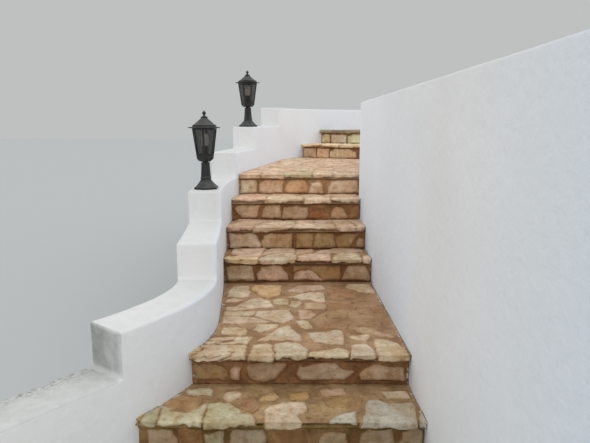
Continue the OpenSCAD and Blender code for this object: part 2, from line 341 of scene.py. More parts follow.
bend_2 = BEND_1 + along(LANDING_HEADING) * LANDING_RUN
right_end = bend_2 + along(EXIT_HEADING) * EXIT_RUN
right_course = Course(BEND_1 - along(FRONT_HEADING) * FRONT_RUN, [
    (FRONT_HEADING, FRONT_HEADING, FRONT_RUN - BEND_ARC / 2),
    arc_between(FRONT_HEADING, LANDING_HEADING, BEND_ARC / 2),
    (LANDING_HEADING, LANDING_HEADING, LANDING_RUN - 1.5 * BEND_ARC),
    arc_between(LANDING_HEADING, EXIT_HEADING, BEND_ARC),
    (EXIT_HEADING, EXIT_HEADING, EXIT_RUN - BEND_ARC),
])
foot_corner = np.array([-FLIGHT_WIDTH / 2 - FOOT_FLARE, -FOOT_LEAD])
first_heading, _, first_run = LEFT_STRETCHES[0]
left_start = foot_corner - along(first_heading) * first_run
last_corner = Course(left_start, LEFT_STRETCHES).corners[-1]
last_run = (right_end - last_corner) @ along(EXIT_HEADING)
left_course = Course(left_start, LEFT_STRETCHES + [(EXIT_HEADING, EXIT_HEADING, last_run)])
print("left course:", round(left_course.length, 3), " right course:", round(right_course.length, 3))

# %% [markdown]
# ## Smooth randomness
#
# Hand work is never even: trowelled render waves by a few millimetres, and broken stone has
# ragged edges. Both need a noise that can be worked out for a whole array of points at once.
# Random numbers sit on the corners of a cubic lattice, and a point between them takes a blend.

# %% Noise for whole arrays
LATTICE = 64
lattice_values = np.random.default_rng(11).uniform(-1, 1, (LATTICE, LATTICE, LATTICE))


def noise(points, wave, shift=0.0):
    """Values from -1 to 1 for points in metres. Each point takes the eight lattice values round
    it, weighted by 3t^2 - 2t^3 of its place t in the cell along each axis."""
    spot = np.asarray(points) / wave + shift
    cell = np.floor(spot).astype(int)
    share = spot - cell
    share = share * share * (3 - 2 * share)
    total = np.zeros(spot.shape[:-1])
    for corner in np.ndindex(2, 2, 2):
        weight = np.prod(np.where(np.array(corner) == 1, share, 1 - share), axis=-1)
        index = (cell + corner) % LATTICE
        total += weight * lattice_values[index[..., 0], index[..., 1], index[..., 2]]
    return total


def flat_noise(a, b, wave, shift=0.0):
    """The same noise for points of a plane."""
    return noise(np.stack([a, b, np.zeros_like(a)], axis=-1), wave, shift)


def rough(a, b, *layers):
    """Several noises of a plane added up, each given as its height, its wave and its shift."""
    return sum(height * flat_noise(a, b, wave, shift) for height, wave, shift in layers)


sample = noise(np.random.default_rng(1).uniform(0, 9, (2000, 3)), 0.3)
print("noise goes from", round(sample.min(), 2), "to", round(sample.max(), 2))

# %% [markdown]
# ## White walls
#
# The walls are masonry under a coat of white render, drawn over every edge without a joint, so
# each wall is one continuous surface although the measured model has it in blocks. Modelling
# the blocks as rounded boxes would leave seams between them. Instead the wall is thought of as
# unrolled: a lattice of stations along it, widths across it and levels up it. The cells under
# the stepped top are filled, and the skin of the filled cells is the wall's surface. One rule
# then eases all the arrises: no point may lie further than the radius from the stepped shape
# shrunk by that radius. The trowel's waves take a little off that distance. Last of all, the
# course bends the unrolled wall into its real plan.

# %% Marks along one direction of the lattice
WALL_WIDTH = 0.22
ARRIS = 0.012
EASE = ARRIS * np.array([0, 0.15, 0.33, 0.55, 0.78, 1.0, 1.5])
CLOSEST_MARKS = 0.001
WIDEST_MARKS = 0.024


def marks_between(starts, ends):
    """Places from the first start to the last end: close together just inside every edge, where
    it is eased, and evenly spread between, at most the widest step apart."""
    near = np.concatenate([np.add.outer(starts, EASE).ravel(), np.subtract.outer(ends, EASE).ravel()])
    near = np.unique(np.round(near[(near >= min(starts)) & (near <= max(ends))], 5))
    near = near[np.concatenate([[True], np.diff(near) > CLOSEST_MARKS])]
    near[-1] = max(ends)
    parts = np.maximum(1, np.ceil(np.diff(near) / WIDEST_MARKS)).astype(int)
    spread = [np.linspace(p, q, n, endpoint=False) for p, q, n in zip(near, near[1:], parts)]
    return np.concatenate(spread + [[max(ends)]])


print("marks across a wall:", len(marks_between([0.0], [WALL_WIDTH])))


# %% The skin of the filled cells
def skin_of(filled):
    """Four lattice corners for each face between a filled cell and an empty one. A face that
    looks along an axis has its corners in turning order of the other two axes."""
    padded = np.pad(filled, 1)
    shape = np.array(filled.shape) + 1
    quads = []
    for axis in range(3):
        others = np.eye(3, dtype=int)[[(axis + 1) % 3, (axis + 2) % 3]]
        turn = np.array([(0, 0), (1, 0), (1, 1), (0, 1)]) @ others
        for way in (0, 1):
            neighbour = np.roll(padded, 1 - 2 * way, axis)[1:-1, 1:-1, 1:-1]
            cells = np.argwhere(filled & ~neighbour)
            cells[:, axis] += way
            quad = cells[:, None, :] + (turn if way else turn[::-1])
            quads.append(np.ravel_multi_index(np.moveaxis(quad, -1, 0), shape))
    return np.concatenate(quads)


print("faces round two joined cells:", len(skin_of(np.ones((2, 1, 1), dtype=bool))))


# %% Easing the arrises
TOUCHING = 1e-9


def eased(points, boxes, radius, worn):
    """Each point is drawn in until it is radius - worn away from the nearest point of the boxes,
    which are already shrunk by the radius."""
    nearest = points.copy()
    best = np.full(len(points), np.inf)
    for low, high in boxes:
        inside = np.clip(points, low, high)
        away = np.linalg.norm(points - inside, axis=1)
        closer = away < best
        nearest[closer] = inside[closer]
        best[closer] = away[closer]
    reach = np.where(best > TOUCHING, (radius - worn) / np.maximum(best, TOUCHING), 1)
    return nearest + (points - nearest) * reach[:, None]


corner = eased(np.zeros((1, 3)), [(np.full(3, ARRIS), np.ones(3))], ARRIS, 0)
print("a sharp corner at 0 is drawn in to", np.round(corner[0], 4).tolist())


# %% Meshes from arrays
def mesh_piece(name, points, faces, marks, finish):
    """A mesh object at the origin from arrays of points and faces. Every mark is kept on it as an
    attribute, with one number for each point, or one tone, which has more numbers than a point."""
    mesh = bpy.data.meshes.new(name)
    mesh.from_pydata(points.reshape(-1, 3).tolist(), [], faces)
    for label, values in marks.items():
        kind, field = ("FLOAT_COLOR", "color") if values.size > points.size else ("FLOAT", "value")
        layer = mesh.attributes.new(label, kind, "POINT")
        layer.data.foreach_set(field, values.astype(float).ravel())
    mesh.polygons.foreach_set("use_smooth", [True] * len(mesh.polygons))
    mesh.materials.append(finish)
    mesh.update()
    piece = bpy.data.objects.new(name, mesh)
    bpy.context.collection.objects.link(piece)
    return piece


def settle(piece, slot, *replaced):
    """The piece belongs to the stair's one body and stands for the named nodes."""
    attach(piece, "root")
    if replaced:
        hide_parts(*replaced)
    triangles = sum(len(face.vertices) - 2 for face in piece.data.polygons)
    print(piece.name, "has", triangles, "triangles")


# %% [markdown]
# ## The finish of the walls
#
# The render is matt and nearly white. What keeps it from looking like paper is small: a faint
# grain from the float, a slow drift of tone, splashes of dirt just above the steps, and a grey
# green bloom on the damp front of the second block. The dirt is worked out for each point of
# the wall and stored on it, and a noise breaks up its edge.

# %% White render
GRAIN = 0.0007
FLOAT_MARKS = 0.0045


def white_render():
    """Clean paint in two drifting tones, painted lightening and cool tints, then bloom, painted shade,
    dirt.
    """
    finish = Finish("white_render")
    drift = finish.noise(1.1, 2.0)
    grain = finish.noise(330.0, 2.0)
    float_marks = finish.noise(24.0, 4.0)
    specks = finish.noise(60.0, 5.0, 0.7)
    dirt = finish.painted("dirt", "Fac")
    bloom_dust_and_shade = finish.painted("bloom_dust_and_shade", "Fac")
    painted_lightening = finish.painted("painted_lightening", "Fac")
    clean = finish.mix(finish.between(drift, 0.35, 0.65), tone("edecea"), tone("e7e7e5"))
    # Painted lightening: the inner face deep in the stair is made whiter in place of the light it lacks.
    clean = finish.mix(painted_lightening, clean, tone("f4f5f6"))
    # A painted cool tint, which cancels the warm light that the stones throw on the inner face.
    clean = finish.mix(finish.painted("painted_cool_tint", "Fac"), clean, tone("e8f1fc"))
    grey = finish.mix(finish.noise(11.0, 4.0), tone("868984"), tone("989b96"))
    # Bloom, dust and painted shade on the tops grey the paint.
    shade = finish.mix(bloom_dust_and_shade * finish.between(float_marks, 0.3, 0.7, 0.88, 1.1), clean, grey)
    speckled = finish.between(dirt + (specks - 0.5) * 1.5 * finish.between(dirt, 0.02, 0.2), 0.35, 0.75)
    shade = finish.mix(speckled * 0.8, shade, tone("6b675b"))
    normal = finish.bump(grain, GRAIN, finish.bump(float_marks, FLOAT_MARKS))
    return finish.wear(Base_Color=shade, Roughness=0.93, Normal=normal, Specular_IOR_Level=0.25)


render_finish = white_render()

# %% [markdown]
# ## Building both walls
#
# The left wall's blocks start at fixed places along the course, and each stands one layer of
# masonry higher than the last. The right wall is a single long block, whose top falls a little
# towards the bend. Dirt gathers over the steps and along the foot of the outer faces, and the
# damp front of the second block has its bloom.

# %% The wall builder
WAVE = 0.0032
LONG_WAVE = 0.31
SHORT_WAVE = 0.083
WELL_BELOW = -1.0


def block_tops(blocks, walked):
    """The top of the block that each place along a wall belongs to."""
    starts, tops = np.array(blocks).T
    return tops[np.searchsorted(starts, walked, side="right") - 1]


def wall_surface(course, blocks, side, fall):
    """The eased skin of a wall: points, faces, and the points' places on the unrolled wall.
    blocks are (start, top) in walking order, and every block runs on to the wall's end. side is
    -1 for a wall that lies left of its course, and 1 for the right. fall is the share of its
    height that a wall loses evenly from its front end to the bend."""
    starts, tops = np.array(blocks).T
    lattice = (marks_between(starts, [course.length]), marks_between([0.0], [WALL_WIDTH]),
               marks_between([0.0], np.unique(tops)))
    middles = [(marks[1:] + marks[:-1]) / 2 for marks in lattice]
    under_top = middles[2] < block_tops(blocks, middles[0])[:, None]
    filled = np.broadcast_to(under_top[:, None, :], [len(marks) for marks in middles])
    corners = skin_of(filled)
    used, faces = np.unique(corners, return_inverse=True)
    faces = faces.reshape(corners.shape)
    index = np.unravel_index(used, tuple(len(marks) for marks in lattice))
    flat = np.stack([marks[places] for marks, places in zip(lattice, index)], axis=1)
    worn = WAVE * (0.5 + 0.35 * noise(flat, LONG_WAVE) + 0.15 * noise(flat, SHORT_WAVE))
    shrunk = [((start + ARRIS, ARRIS, WELL_BELOW),
               (course.length - ARRIS, WALL_WIDTH - ARRIS, top - ARRIS)) for start, top in blocks]
    smooth = eased(flat, shrunk, ARRIS, worn)
    spots, headings = course.at(smooth[:, 0])
    plan = spots + right_of(headings) * (side * smooth[:, 1])[:, None]
    scale = 1 - fall * np.clip(smooth[:, 0] / FRONT_RUN, 0, 1)
    points = np.column_stack([plan, smooth[:, 2] * scale])
    return points, faces if side < 0 else faces[:, ::-1], smooth


# %% Lines of the risers
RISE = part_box("tread_1")[1][2]
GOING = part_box("riser_2")[0][1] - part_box("riser_1")[0][1]
LOWER_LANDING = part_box("riser_3")[0][1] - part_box("riser_2")[0][1]
UPPER_HEADING = 27.0
LAST_STEP = 8
riser_lines = {step: (np.array([0.0, GOING * (step - 1)]), 0.0) for step in (1, 2)}
for step in range(3, 7):
    riser_lines[step] = (np.array([0.0, LOWER_LANDING + GOING * (step - 2)]), 0.0)
riser_lines[7] = (left_course.corners[8], UPPER_HEADING)
riser_lines[8] = (left_course.corners[9], UPPER_HEADING)
riser_lines[9] = (right_end, EXIT_HEADING)
print("rise:", round(RISE, 3), " going:", round(GOING, 3), " landing:", round(LOWER_LANDING, 3))

# %% Marks that both walls have
UNDER_PAVING = 0.01
SPLASH_HEIGHT = 0.045
INNER_SPLASH = 0.16
FOOT_HEIGHT = 0.10
OUTER_SPLASH = 0.4
# The tops get grey dust and painted shade, which keep them from rendering brighter than the sides.
TOP_DUST_AND_SHADE = 0.26
LIGHTENING_FADE = 0.8
COOL_HEIGHT = 0.7
COOL_FADE = 0.5


def over_paving(course, flat):
    """Height of a wall's points over the paving beside them, which goes up by one rise at every
    riser that the course passes."""
    passed = [course.meets(riser_lines[step]) for step in range(1, LAST_STEP + 1)]
    return flat[:, 2] - RISE * np.searchsorted(passed, flat[:, 0], side="right")


def inner_face(flat):
    """1 on the inner face, going to 0 just behind its arris."""
    return np.clip(1 - flat[:, 1] / (2 * ARRIS), 0, 1)


def splashes(course, flat):
    """Dirt just over the steps on the inner face, and at the foot of the outer face. It thins
    out upwards as exp(-height / its own height)."""
    over = over_paving(course, flat)
    by_the_steps = (flat[:, 1] < ARRIS) & (over > -UNDER_PAVING)
    inner = np.where(by_the_steps, np.exp(-np.maximum(over, 0) / SPLASH_HEIGHT), 0)
    outer = np.where(flat[:, 1] > WALL_WIDTH / 2, np.exp(-flat[:, 2] / FOOT_HEIGHT), 0)
    return INNER_SPLASH * inner + OUTER_SPLASH * outer


def top_dust_and_shade(blocks, flat):
    """Grey dust and painted shade on the blocks' tops, which come in over the arrises."""
    return TOP_DUST_AND_SHADE * np.clip(1 - (block_tops(blocks, flat[:, 0]) - flat[:, 2]) / ARRIS, 0, 1)


def lightened_in_the_well(flat, start, end):
    """The inner face along the steps, painted whiter to stand in for the light it lacks deep in the
    stair.
    """
    begun = np.clip((flat[:, 0] - start) / LIGHTENING_FADE, 0, 1)
    return inner_face(flat) * begun * np.clip((end - flat[:, 0]) / LIGHTENING_FADE, 0, 1)


def cooled_against_bounce(course, flat):
    """The inner face low over the steps: a painted cool tint there cancels the stones' warm light on it."""
    begun = np.clip((flat[:, 0] - course.meets(riser_lines[1])) / COOL_FADE, 0, 1)
    return np.exp(-np.maximum(over_paving(course, flat), 0) / COOL_HEIGHT) * inner_face(flat) * begun


def wall_marks(course, blocks, lightened_span, flat):
    """One number per point for each mark. The span given is where the painted lightening starts and
    ends.
    """
    return {"dirt": splashes(course, flat), "bloom_dust_and_shade": top_dust_and_shade(blocks, flat),
            "painted_lightening": lightened_in_the_well(flat, *lightened_span), "painted_cool_tint": cooled_against_bounce(course, flat)}


# %% The left wall
LAYER_HEIGHT = 0.202
FIRST_TOP = 0.364
BLOCK_RUNS = (1.0, 0.85, 0.67, 0.93, 0.66, 1.06)
left_blocks = [(sum(BLOCK_RUNS[:number]), FIRST_TOP + LAYER_HEIGHT * number)
               for number in range(len(BLOCK_RUNS) + 1)]
SECOND_START, SECOND_TOP = left_blocks[1]
# The painted lightening of the left wall's inner face starts a little before the second block.
BEFORE_SECOND = 0.4
LIGHTENED_END = 3.6
LEFT_LIGHTENED = (SECOND_START - BEFORE_SECOND, LIGHTENED_END)
TOP_DIRT = 0.5
TOP_BLOOM = (0.2, 0.36)
TOP_RIM = 0.01
FRONT_BLOOM = (0.58, 1.02)
STREAKS = 0.14
STREAK_WAVE = 0.03
DRAWN_DOWN = (1.0, 1.0, 0.2)
PATCHES = 0.05
PATCH_WAVE = 0.09
WORN_RIM = 0.022


def left_marks(flat, points):
    """The marks of both walls, plus dirt on the lowest block's top and a bloom on the second
    block's front, streaked by the rain and worn off at its edges."""
    marks = wall_marks(left_course, left_blocks, LEFT_LIGHTENED, flat)
    outward = np.clip(flat[:, 1] / WALL_WIDTH, 0, 1)
    over_first = flat[:, 2] - FIRST_TOP
    on_first = (flat[:, 0] < SECOND_START - TOP_RIM / 2) & (over_first > -TOP_RIM)
    marks["dirt"] = np.maximum(marks["dirt"], TOP_DIRT * outward * on_first)
    bloom_dust_and_shade = marks["bloom_dust_and_shade"] + np.interp(outward, (0, 1), TOP_BLOOM) * on_first
    streaks = np.interp(outward, (0, 1), FRONT_BLOOM)
    streaks = streaks + STREAKS * noise(points * DRAWN_DOWN, STREAK_WAVE)
    streaks = streaks - PATCHES * noise(points, PATCH_WAVE)
    from_edge = np.minimum(np.minimum(flat[:, 1], WALL_WIDTH - flat[:, 1]), SECOND_TOP - flat[:, 2])
    streaks = streaks * np.interp(from_edge, (0, WORN_RIM), (0.65, 1))
    streaks = streaks * np.interp(over_first, (0, TOP_RIM), (0.6, 1))
    on_front = (np.abs(flat[:, 0] - SECOND_START) < ARRIS * 0.8) & (over_first > -WAVE)
    marks["bloom_dust_and_shade"] = np.where(on_front, np.maximum(streaks, bloom_dust_and_shade), bloom_dust_and_shade)
    return marks


points, faces, flat = wall_surface(left_course, left_blocks, -1, 0)
left_wall = mesh_piece("left_wall", points, faces, left_marks(flat, points), render_finish)
settle(left_wall, "white_render", *["left_wall_%d" % block for block in range(1, 9)])

# %% The right wall
RIGHT_WALL_HEIGHT = 1.606
RIGHT_WALL_FALL = 0.034
right_blocks = [(0.0, RIGHT_WALL_HEIGHT)]
BEFORE_BEND = 1.6
RIGHT_LIGHTENED = (FRONT_RUN - BEFORE_BEND, right_course.length)
DULL_RUN = 1.1
FRONT_END_GREY = 0.16
FRONT_END_COOL = 0.8


def right_marks(flat):
    """The marks of both walls. Towards its front end the inner face is greyer, and its painted cool tint
    stronger."""
    marks = wall_marks(right_course, right_blocks, RIGHT_LIGHTENED, flat)
    dull = inner_face(flat) * np.clip(1 - flat[:, 0] / DULL_RUN, 0, 1) ** 1.5
    marks["bloom_dust_and_shade"] = marks["bloom_dust_and_shade"] + FRONT_END_GREY * dull
    marks["painted_cool_tint"] = np.maximum(marks["painted_cool_tint"], FRONT_END_COOL * dull)
    return marks


points, faces, flat = wall_surface(right_course, right_blocks, 1, RIGHT_WALL_FALL / RIGHT_WALL_HEIGHT)
right_wall = mesh_piece("right_wall", points, faces, right_marks(flat), render_finish)
settle(right_wall, "white_render", "right_wall_front", "right_wall_landing", "right_wall_exit")

# %% [markdown]
# ## Broken stones and their joints
#
# Broken limestone is laid like a puzzle, so each stone is written down as an outline with a few
# corners. One number per point then says how deep the point lies inside its stone: the
# distance to the nearest side, which is taken as negative outside. Near a corner two sides are
# about equally near, and a soft minimum of both rounds the corner off, as breaking does. All the
# rest follows from that depth: where the mortar shows, where an edge is worn, how high a stone
# stands. On the upper landings, which are seen almost edge on, the stones are cells instead.

# %% Depth inside an outline
CENTIMETRE = 0.01
CORNER_WEAR = 0.004
OUT_OF_REACH = 0.04
THIN_JOINT = 0.0025


def outline_depth(a, b, corners):
    """Depth of points inside one closed outline. The way from a side's start to a point, less
    the part of it that runs along the side, is as long as the distance to the side. A point is
    inside if a line to its right crosses the sides an odd number of times."""
    ends = np.roll(corners, -1, axis=0)
    side = ends - corners
    way = np.stack([a, b], axis=-1)[:, None] - corners
    part = np.clip((way * side).sum(-1) / (side ** 2).sum(-1), 0, 1)
    distance = np.linalg.norm(way - part[..., None] * side, axis=-1)
    spans = (corners[:, 1] > b[:, None]) != (ends[:, 1] > b[:, None])
    rise = np.where(side[:, 1] == 0, 1, side[:, 1])
    crossed_at = corners[:, 0] + way[..., 1] * side[:, 0] / rise
    inside = (spans & (a[:, None] < crossed_at)).sum(-1) % 2 == 1
    soft = -CORNER_WEAR * np.log(np.exp(-distance / CORNER_WEAR).sum(-1))
    return np.where(inside, soft, -distance.min(-1))


square = np.array([(0, 0), (0.1, 0), (0.1, 0.1), (0, 0.1)])
middle = outline_depth(np.array([0.05]), np.array([0.05]), square)
print("depth in the middle of a stone 0.1 m square:", np.round(middle, 4).tolist())


def outlined(a, b, stones, grown):
    """Depth in the stone that a point lies deepest in, and which stone that is. Each outline is
    grown by a margin, but a thin joint stays midway between any two stones."""
    first = np.full(a.shape, -OUT_OF_REACH)
    second = first.copy()
    owner = np.zeros(a.shape, dtype=int)
    for number, (_, *corners) in enumerate(stones):
        corners = np.array(corners) * CENTIMETRE
        low, high = corners.min(axis=0) - OUT_OF_REACH, corners.max(axis=0) + OUT_OF_REACH
        near = (a > low[0]) & (a < high[0]) & (b > low[1]) & (b < high[1])
        found = outline_depth(a[near], b[near], corners)
        best = first[near]
        owner[near] = np.where(found > best, number, owner[near])
        second[near] = np.maximum(second[near], np.minimum(found, best))
        first[near] = np.maximum(found, best)
    return np.minimum(first + grown, (first - second) / 2 - THIN_JOINT), owner


# %% Depth inside a cell
def celled(a, b, cells):
    """Depth inside the cell that a point belongs to, and which cell that is. With power =
    distance squared less reach squared, the border between two cells is a straight line, and the
    distance to it is the difference of their powers over twice the centres' distance."""
    centre_a, centre_b, reach = cells.T
    power = (a[..., None] - centre_a) ** 2 + (b[..., None] - centre_b) ** 2 - reach ** 2
    owner = power.argmin(axis=-1)
    apart = np.hypot(np.subtract.outer(centre_a, centre_a), np.subtract.outer(centre_b, centre_b))
    np.fill_diagonal(apart, np.inf)
    lead = power - power.min(axis=-1, keepdims=True)
    border = np.where(np.isinf(apart[owner]), np.inf, lead / (2 * apart[owner]))
    return border.min(axis=-1), owner


# %% Tones of the stone
TONES = {
    "cream": "d6c1a2", "pale": "d8c4a9", "pink": "d9baa0", "greenish": "cec5a3", "ochre": "dabb8e",
    "sand": "d5c2a2", "grey": "c6bead", "film": "b38d6b", "rust": "af8c63", "moss": "bab28e",
    "tan": "c9aa89", "rose": "d5b496", "orange": "cfa782", "olive": "ad8d63", "umber": "a1764b",
    "ash": "c6ad90", "rippled": "decdb3", "cracked": "e8cfa9", "lichen": "a9a18b", "slate": "948d7e",
    "honey": "c8a56e", "ember": "a8724d", "dusk": "b59878", "blush": "d9c0a5",
}
SPLIT = ("rippled", "cracked")
print("tones of stone:", len(TONES))


# %% What is a stone's own
HANG = (0.044, 0.076)
SLANT = 0.07
TILT = 0.012
LIFT = (-0.0025, 0.001)
SETBACK = (0.0, 0.009)
BRIGHTNESS = (0.95, 1.05)
HUE = (0.98, 1.02)


def own_values(seed, names, clean):
    """The values that each stone draws once: its tone, its tilt across and back, its lift, how
    far its face is set back, and how far it hangs down with the slant of its lower edge."""
    rng = np.random.default_rng(seed)
    count = len(names)
    plain = np.array([tone(TONES[name]) for name in names])
    plain[:, :3] *= rng.uniform(*BRIGHTNESS, (count, 1)) * rng.uniform(*HUE, (count, 3)) * (1 + clean)
    tilt = rng.normal(0, TILT, (2, count))
    return (plain, *tilt, rng.uniform(*LIFT, count), rng.uniform(*SETBACK, count),
            rng.uniform(*HANG, count), rng.normal(0, SLANT, count))


# %% A plane of stones
RAGGED = 0.007
BREAK_WAVE = 0.055
CHIP_WAVE = 0.019
HIGHEST = 0.0015
FIELD_START = 0.135
FIELD_JOINT = 0.003
LAYER_WAVE = 0.021
CLEFT_WAVE = 0.06
CLEFT_WIDTH = 0.26
CLEFT_DEPTH = 0.012
LOWER_EDGE = (0.005, 0.018)


def laid(a, b, stones, seed, grown, clean, cells=(), cell_tones=(), hanging=False):
    """Depth, tone, lift and setback for points of a paved or faced plane. A noise first shifts
    the points, which makes the stones' edges ragged. A nosing stone hangs down the front as far
    as its own thickness. A stone that splits in layers has long shallow clefts where a drawn-out
    noise is about zero."""
    warped_a, warped_b = [
        place + rough(a, b, (RAGGED, BREAK_WAVE, shift), (RAGGED / 2, CHIP_WAVE, chip_shift))
        for place, shift, chip_shift in ((a, seed, seed + 9), (b, seed + 5, seed + 3))]
    depth, owner = outlined(warped_a, warped_b, stones, grown)
    names = [stone[0] for stone in stones] + list(cell_tones)
    centres = [np.mean(stone[1:], axis=0) * CENTIMETRE for stone in stones]
    centres = np.array(centres + [cell[:2] for cell in cells])
    if len(cells):
        border, cell = celled(warped_a, warped_b, cells)
        field = np.minimum(border - FIELD_JOINT, warped_b - FIELD_START)
        owner = np.where(field > depth, len(stones) + cell, owner)
        depth = np.maximum(depth, field)
    away_a, away_b = a - centres[owner, 0], b - centres[owner, 1]
    own = [values[owner] for values in own_values(seed, names, clean)]
    plain, tilt_a, tilt_b, lift, setback, hang, slant = own
    layer = flat_noise(0.3 * a + 0.12 * b, b - 0.35 * a, LAYER_WAVE, seed + 2)
    cleft = np.clip(1 - np.abs(layer) / CLEFT_WIDTH, 0, 1)
    cleft = cleft * np.clip(1 + 2 * flat_noise(a, b, CLEFT_WAVE, seed), 0, 1)
    splits = np.array([name in SPLIT for name in names])[owner]
    depth = np.where(splits, np.minimum(depth, CLEFT_DEPTH * (0.85 - cleft)), depth)
    if hanging:
        edge = hang + slant * away_a + rough(a, 0 * a, (*LOWER_EDGE, seed))
        depth = np.minimum(depth, warped_b + edge)
    return depth, plain, np.minimum(lift + tilt_a * away_a + tilt_b * away_b, HIGHEST), setback


# %% [markdown]
# ## Which stones lie where
#
# The stones of the five lower treads are seen best, so they are written down one by one, in
# centimetres: across the step from its middle, and back from the riser's line. A nosing stone
# starts in front of that line, because it goes on down over the front edge. Near the nosings the
# stones are large and pale. The right half of the landing is mostly under a film of brown mortar.
# Farther up, a row of stones makes the nosing, and cells or a second row fill the tread behind.

# %% Stones of the lowest tread
STONES_1 = [
    ("moss", (-67, -9), (-61.5, -9), (-61, 8), (-63, 9), (-66.5, 3)),
    ("greenish", (-60, -9), (-41.5, -9), (-41, 13), (-43.5, 9), (-49, 5), (-55, 5.5), (-59.5, 11)),
    ("rust", (-58, 14), (-56, 18.5), (-50, 19.5), (-45, 17), (-44, 12), (-49, 7.5), (-55, 8)),
    ("greenish", (-40, -9), (-18.5, -9), (-18, -4), (-20.5, 2), (-25.5, 3), (-25.5, 6), (-29, 10.5),
     (-31, 12.8), (-33, 11.5), (-36, 13.2), (-40, 12.3)),
    ("cream", (-14, -9), (1.5, -9), (2, -3), (-0.5, 2), (1, 4), (4.5, 6), (3.5, 13.3), (-6, 12.8),
     (-12.3, 10.2), (-14.3, 7.5)),
    ("grey", (13.6, -9), (24.5, -9), (25, 2), (26, 6.5), (17, 2), (13.6, -2)),
    ("grey", (26, -9), (50, -9), (51, -3), (52.5, 10), (51.5, 12.5), (40, 12), (37, 15.5),
     (32.7, 14.8), (30.5, 12), (29.5, 4)),
    ("grey", (51.5, -9), (55, -9), (55, 6), (53.5, 6), (52, -2)),
    ("greenish", (-53, 25.2), (-43.2, 27), (-40, 23.8), (-40, 19.3), (-47.7, 19.7), (-52.3, 21.5)),
    ("cream", (-35, 15.6), (-33.2, 23.4), (-29.5, 24.7), (-26.4, 21), (-26.8, 18.4), (-30.5, 14.7)),
    ("ochre", (-17.3, 16.5), (-16.4, 19.3), (-11.4, 23.4), (-8.2, 18.4), (-11.4, 15.2)),
    ("cream", (40, 23.8), (51, 24.3), (51.4, 17.5), (41, 18)),
    ("tan", (10.5, 25), (22, 27), (23, 20), (12, 19.5)),
    ("rust", (12, 17), (24, 21), (30, 18), (27, 9), (14, 10)),
    ("film", (-25, 17), (-19, 17.5), (-17, 10), (-20, 4.5), (-24.5, 8)),
    ("honey", (-4, 22), (4, 23), (6, 17), (-3, 16)),
]

# %% Stones of the lower landing
STONES_2 = [
    ("rippled", (-60, -9), (-25.5, -9), (-26, 9), (-49, 9)),
    ("cream", (-24, -9), (-12.5, -9), (-12.5, 8), (-16, 12), (-22, 9)),
    ("pale", (-10.5, -9), (4, -9), (5, 3), (1, 9.5), (-4, 11.5), (-10.5, 10)),
    ("sand", (6, -9), (24.5, -9), (24.5, 2), (20, 5), (6.5, 0)),
    ("pale", (26, -9), (37, -9), (37, 5), (34, 10), (27, 9)),
    ("cream", (39.5, -9), (53, -9), (52, 6), (47, 15), (40, 17), (39.5, 12)),
    ("rippled", (-46, 10), (-26, 10), (-23.5, 19.5), (-43, 18.5)),
    ("cream", (-39.5, 22.5), (-27, 22), (-28, 31), (-40, 32.5)),
    ("sand", (-23.5, 29), (-19, 26.5), (-10.5, 33), (-11, 37.5), (-22, 36)),
    ("pale", (-19.4, 15), (-17, 19.5), (-7.5, 34.5), (-5, 34.5), (0.6, 23), (1.9, 14.5)),
    ("pale", (-0.5, 41.7), (5.5, 41.7), (8, 30.6), (4, 29), (0, 37.3)),
    ("pale", (6.1, 24.5), (22.8, 29.5), (24, 27), (22.8, 10), (16.7, 10), (8.9, 13.9)),
    ("cream", (26.7, 19), (36.1, 22.8), (36.7, 19.5), (34.4, 13.9), (27.2, 16.7)),
    ("tan", (31, 31), (36.5, 32), (50, 19.5), (48, 18.5), (32, 27)),
    ("cream", (-41.5, 48.5), (-27, 48), (-15.5, 41.5), (-17, 40), (-40, 38)),
    ("pale", (-23.5, 57.3), (-4.5, 60), (-2.3, 46), (-7.2, 40), (-12.2, 41.7), (-24, 50.6)),
    ("cream", (-41.7, 57.5), (-24.5, 58.5), (-25, 51.5), (-41.5, 51)),
    ("pink", (0.5, 59), (6.7, 59.5), (11, 53), (6.7, 46.2), (2.2, 45.6)),
    ("cream", (-42.2, 65), (-32, 65), (-29.5, 60.6), (-42, 59.5)),
    ("pale", (-36, 67.3), (-30, 79.5), (-23.3, 82.3), (-16.1, 75), (-15, 65), (-29, 62.8)),
    ("pink", (-43.3, 72.8), (-43.3, 79), (-38.3, 80.6), (-35.5, 78.4), (-37.8, 72.8)),
    ("cream", (-15, 77.3), (-11, 81.2), (-4.4, 78.4), (-5.5, 69.5), (-13.3, 70.6)),
    ("cream", (-4, 76.2), (2.2, 77.3), (2.8, 70.6), (-1, 64), (-5, 67.3)),
    ("tan", (5, 71.7), (8.9, 73.4), (17.2, 69.5), (16.7, 61.7), (5.5, 61.7)),
    ("pale", (-5.5, 84), (7.8, 92.8), (16.7, 91.7), (17.2, 75), (3.3, 79.5)),
    ("pink", (-6.5, 95.6), (2, 107.3), (16.7, 109.5), (17.8, 100.6), (2.2, 93)),
    ("ochre", (-30, 99.5), (-28.3, 109.5), (-11, 109.5), (-11, 89.5), (-19, 82.8)),
    ("cream", (-44.4, 85), (-44.4, 97.3), (-40, 106), (-32.8, 107.3), (-30.8, 97), (-31, 85),
     (-36.7, 82.8)),
    ("film", (20, 98.4), (28.9, 100.6), (37.8, 90.6), (37.8, 82.8), (22.2, 79.5)),
    ("cream", (33.5, 103), (34.5, 111.5), (50, 112), (50.5, 93), (43.3, 92.8)),
    ("film", (11, 35), (28, 39.5), (26.5, 31), (13, 30.6)),
    ("rust", (18, 58), (29, 57), (28, 48), (17, 47)),
    ("film", (29, 43), (46, 41), (45, 34), (30, 36)),
    ("film", (35, 74), (50, 76), (51, 58), (36, 57)),
    ("film", (19, 76), (33, 75), (32, 65), (20, 63)),
]

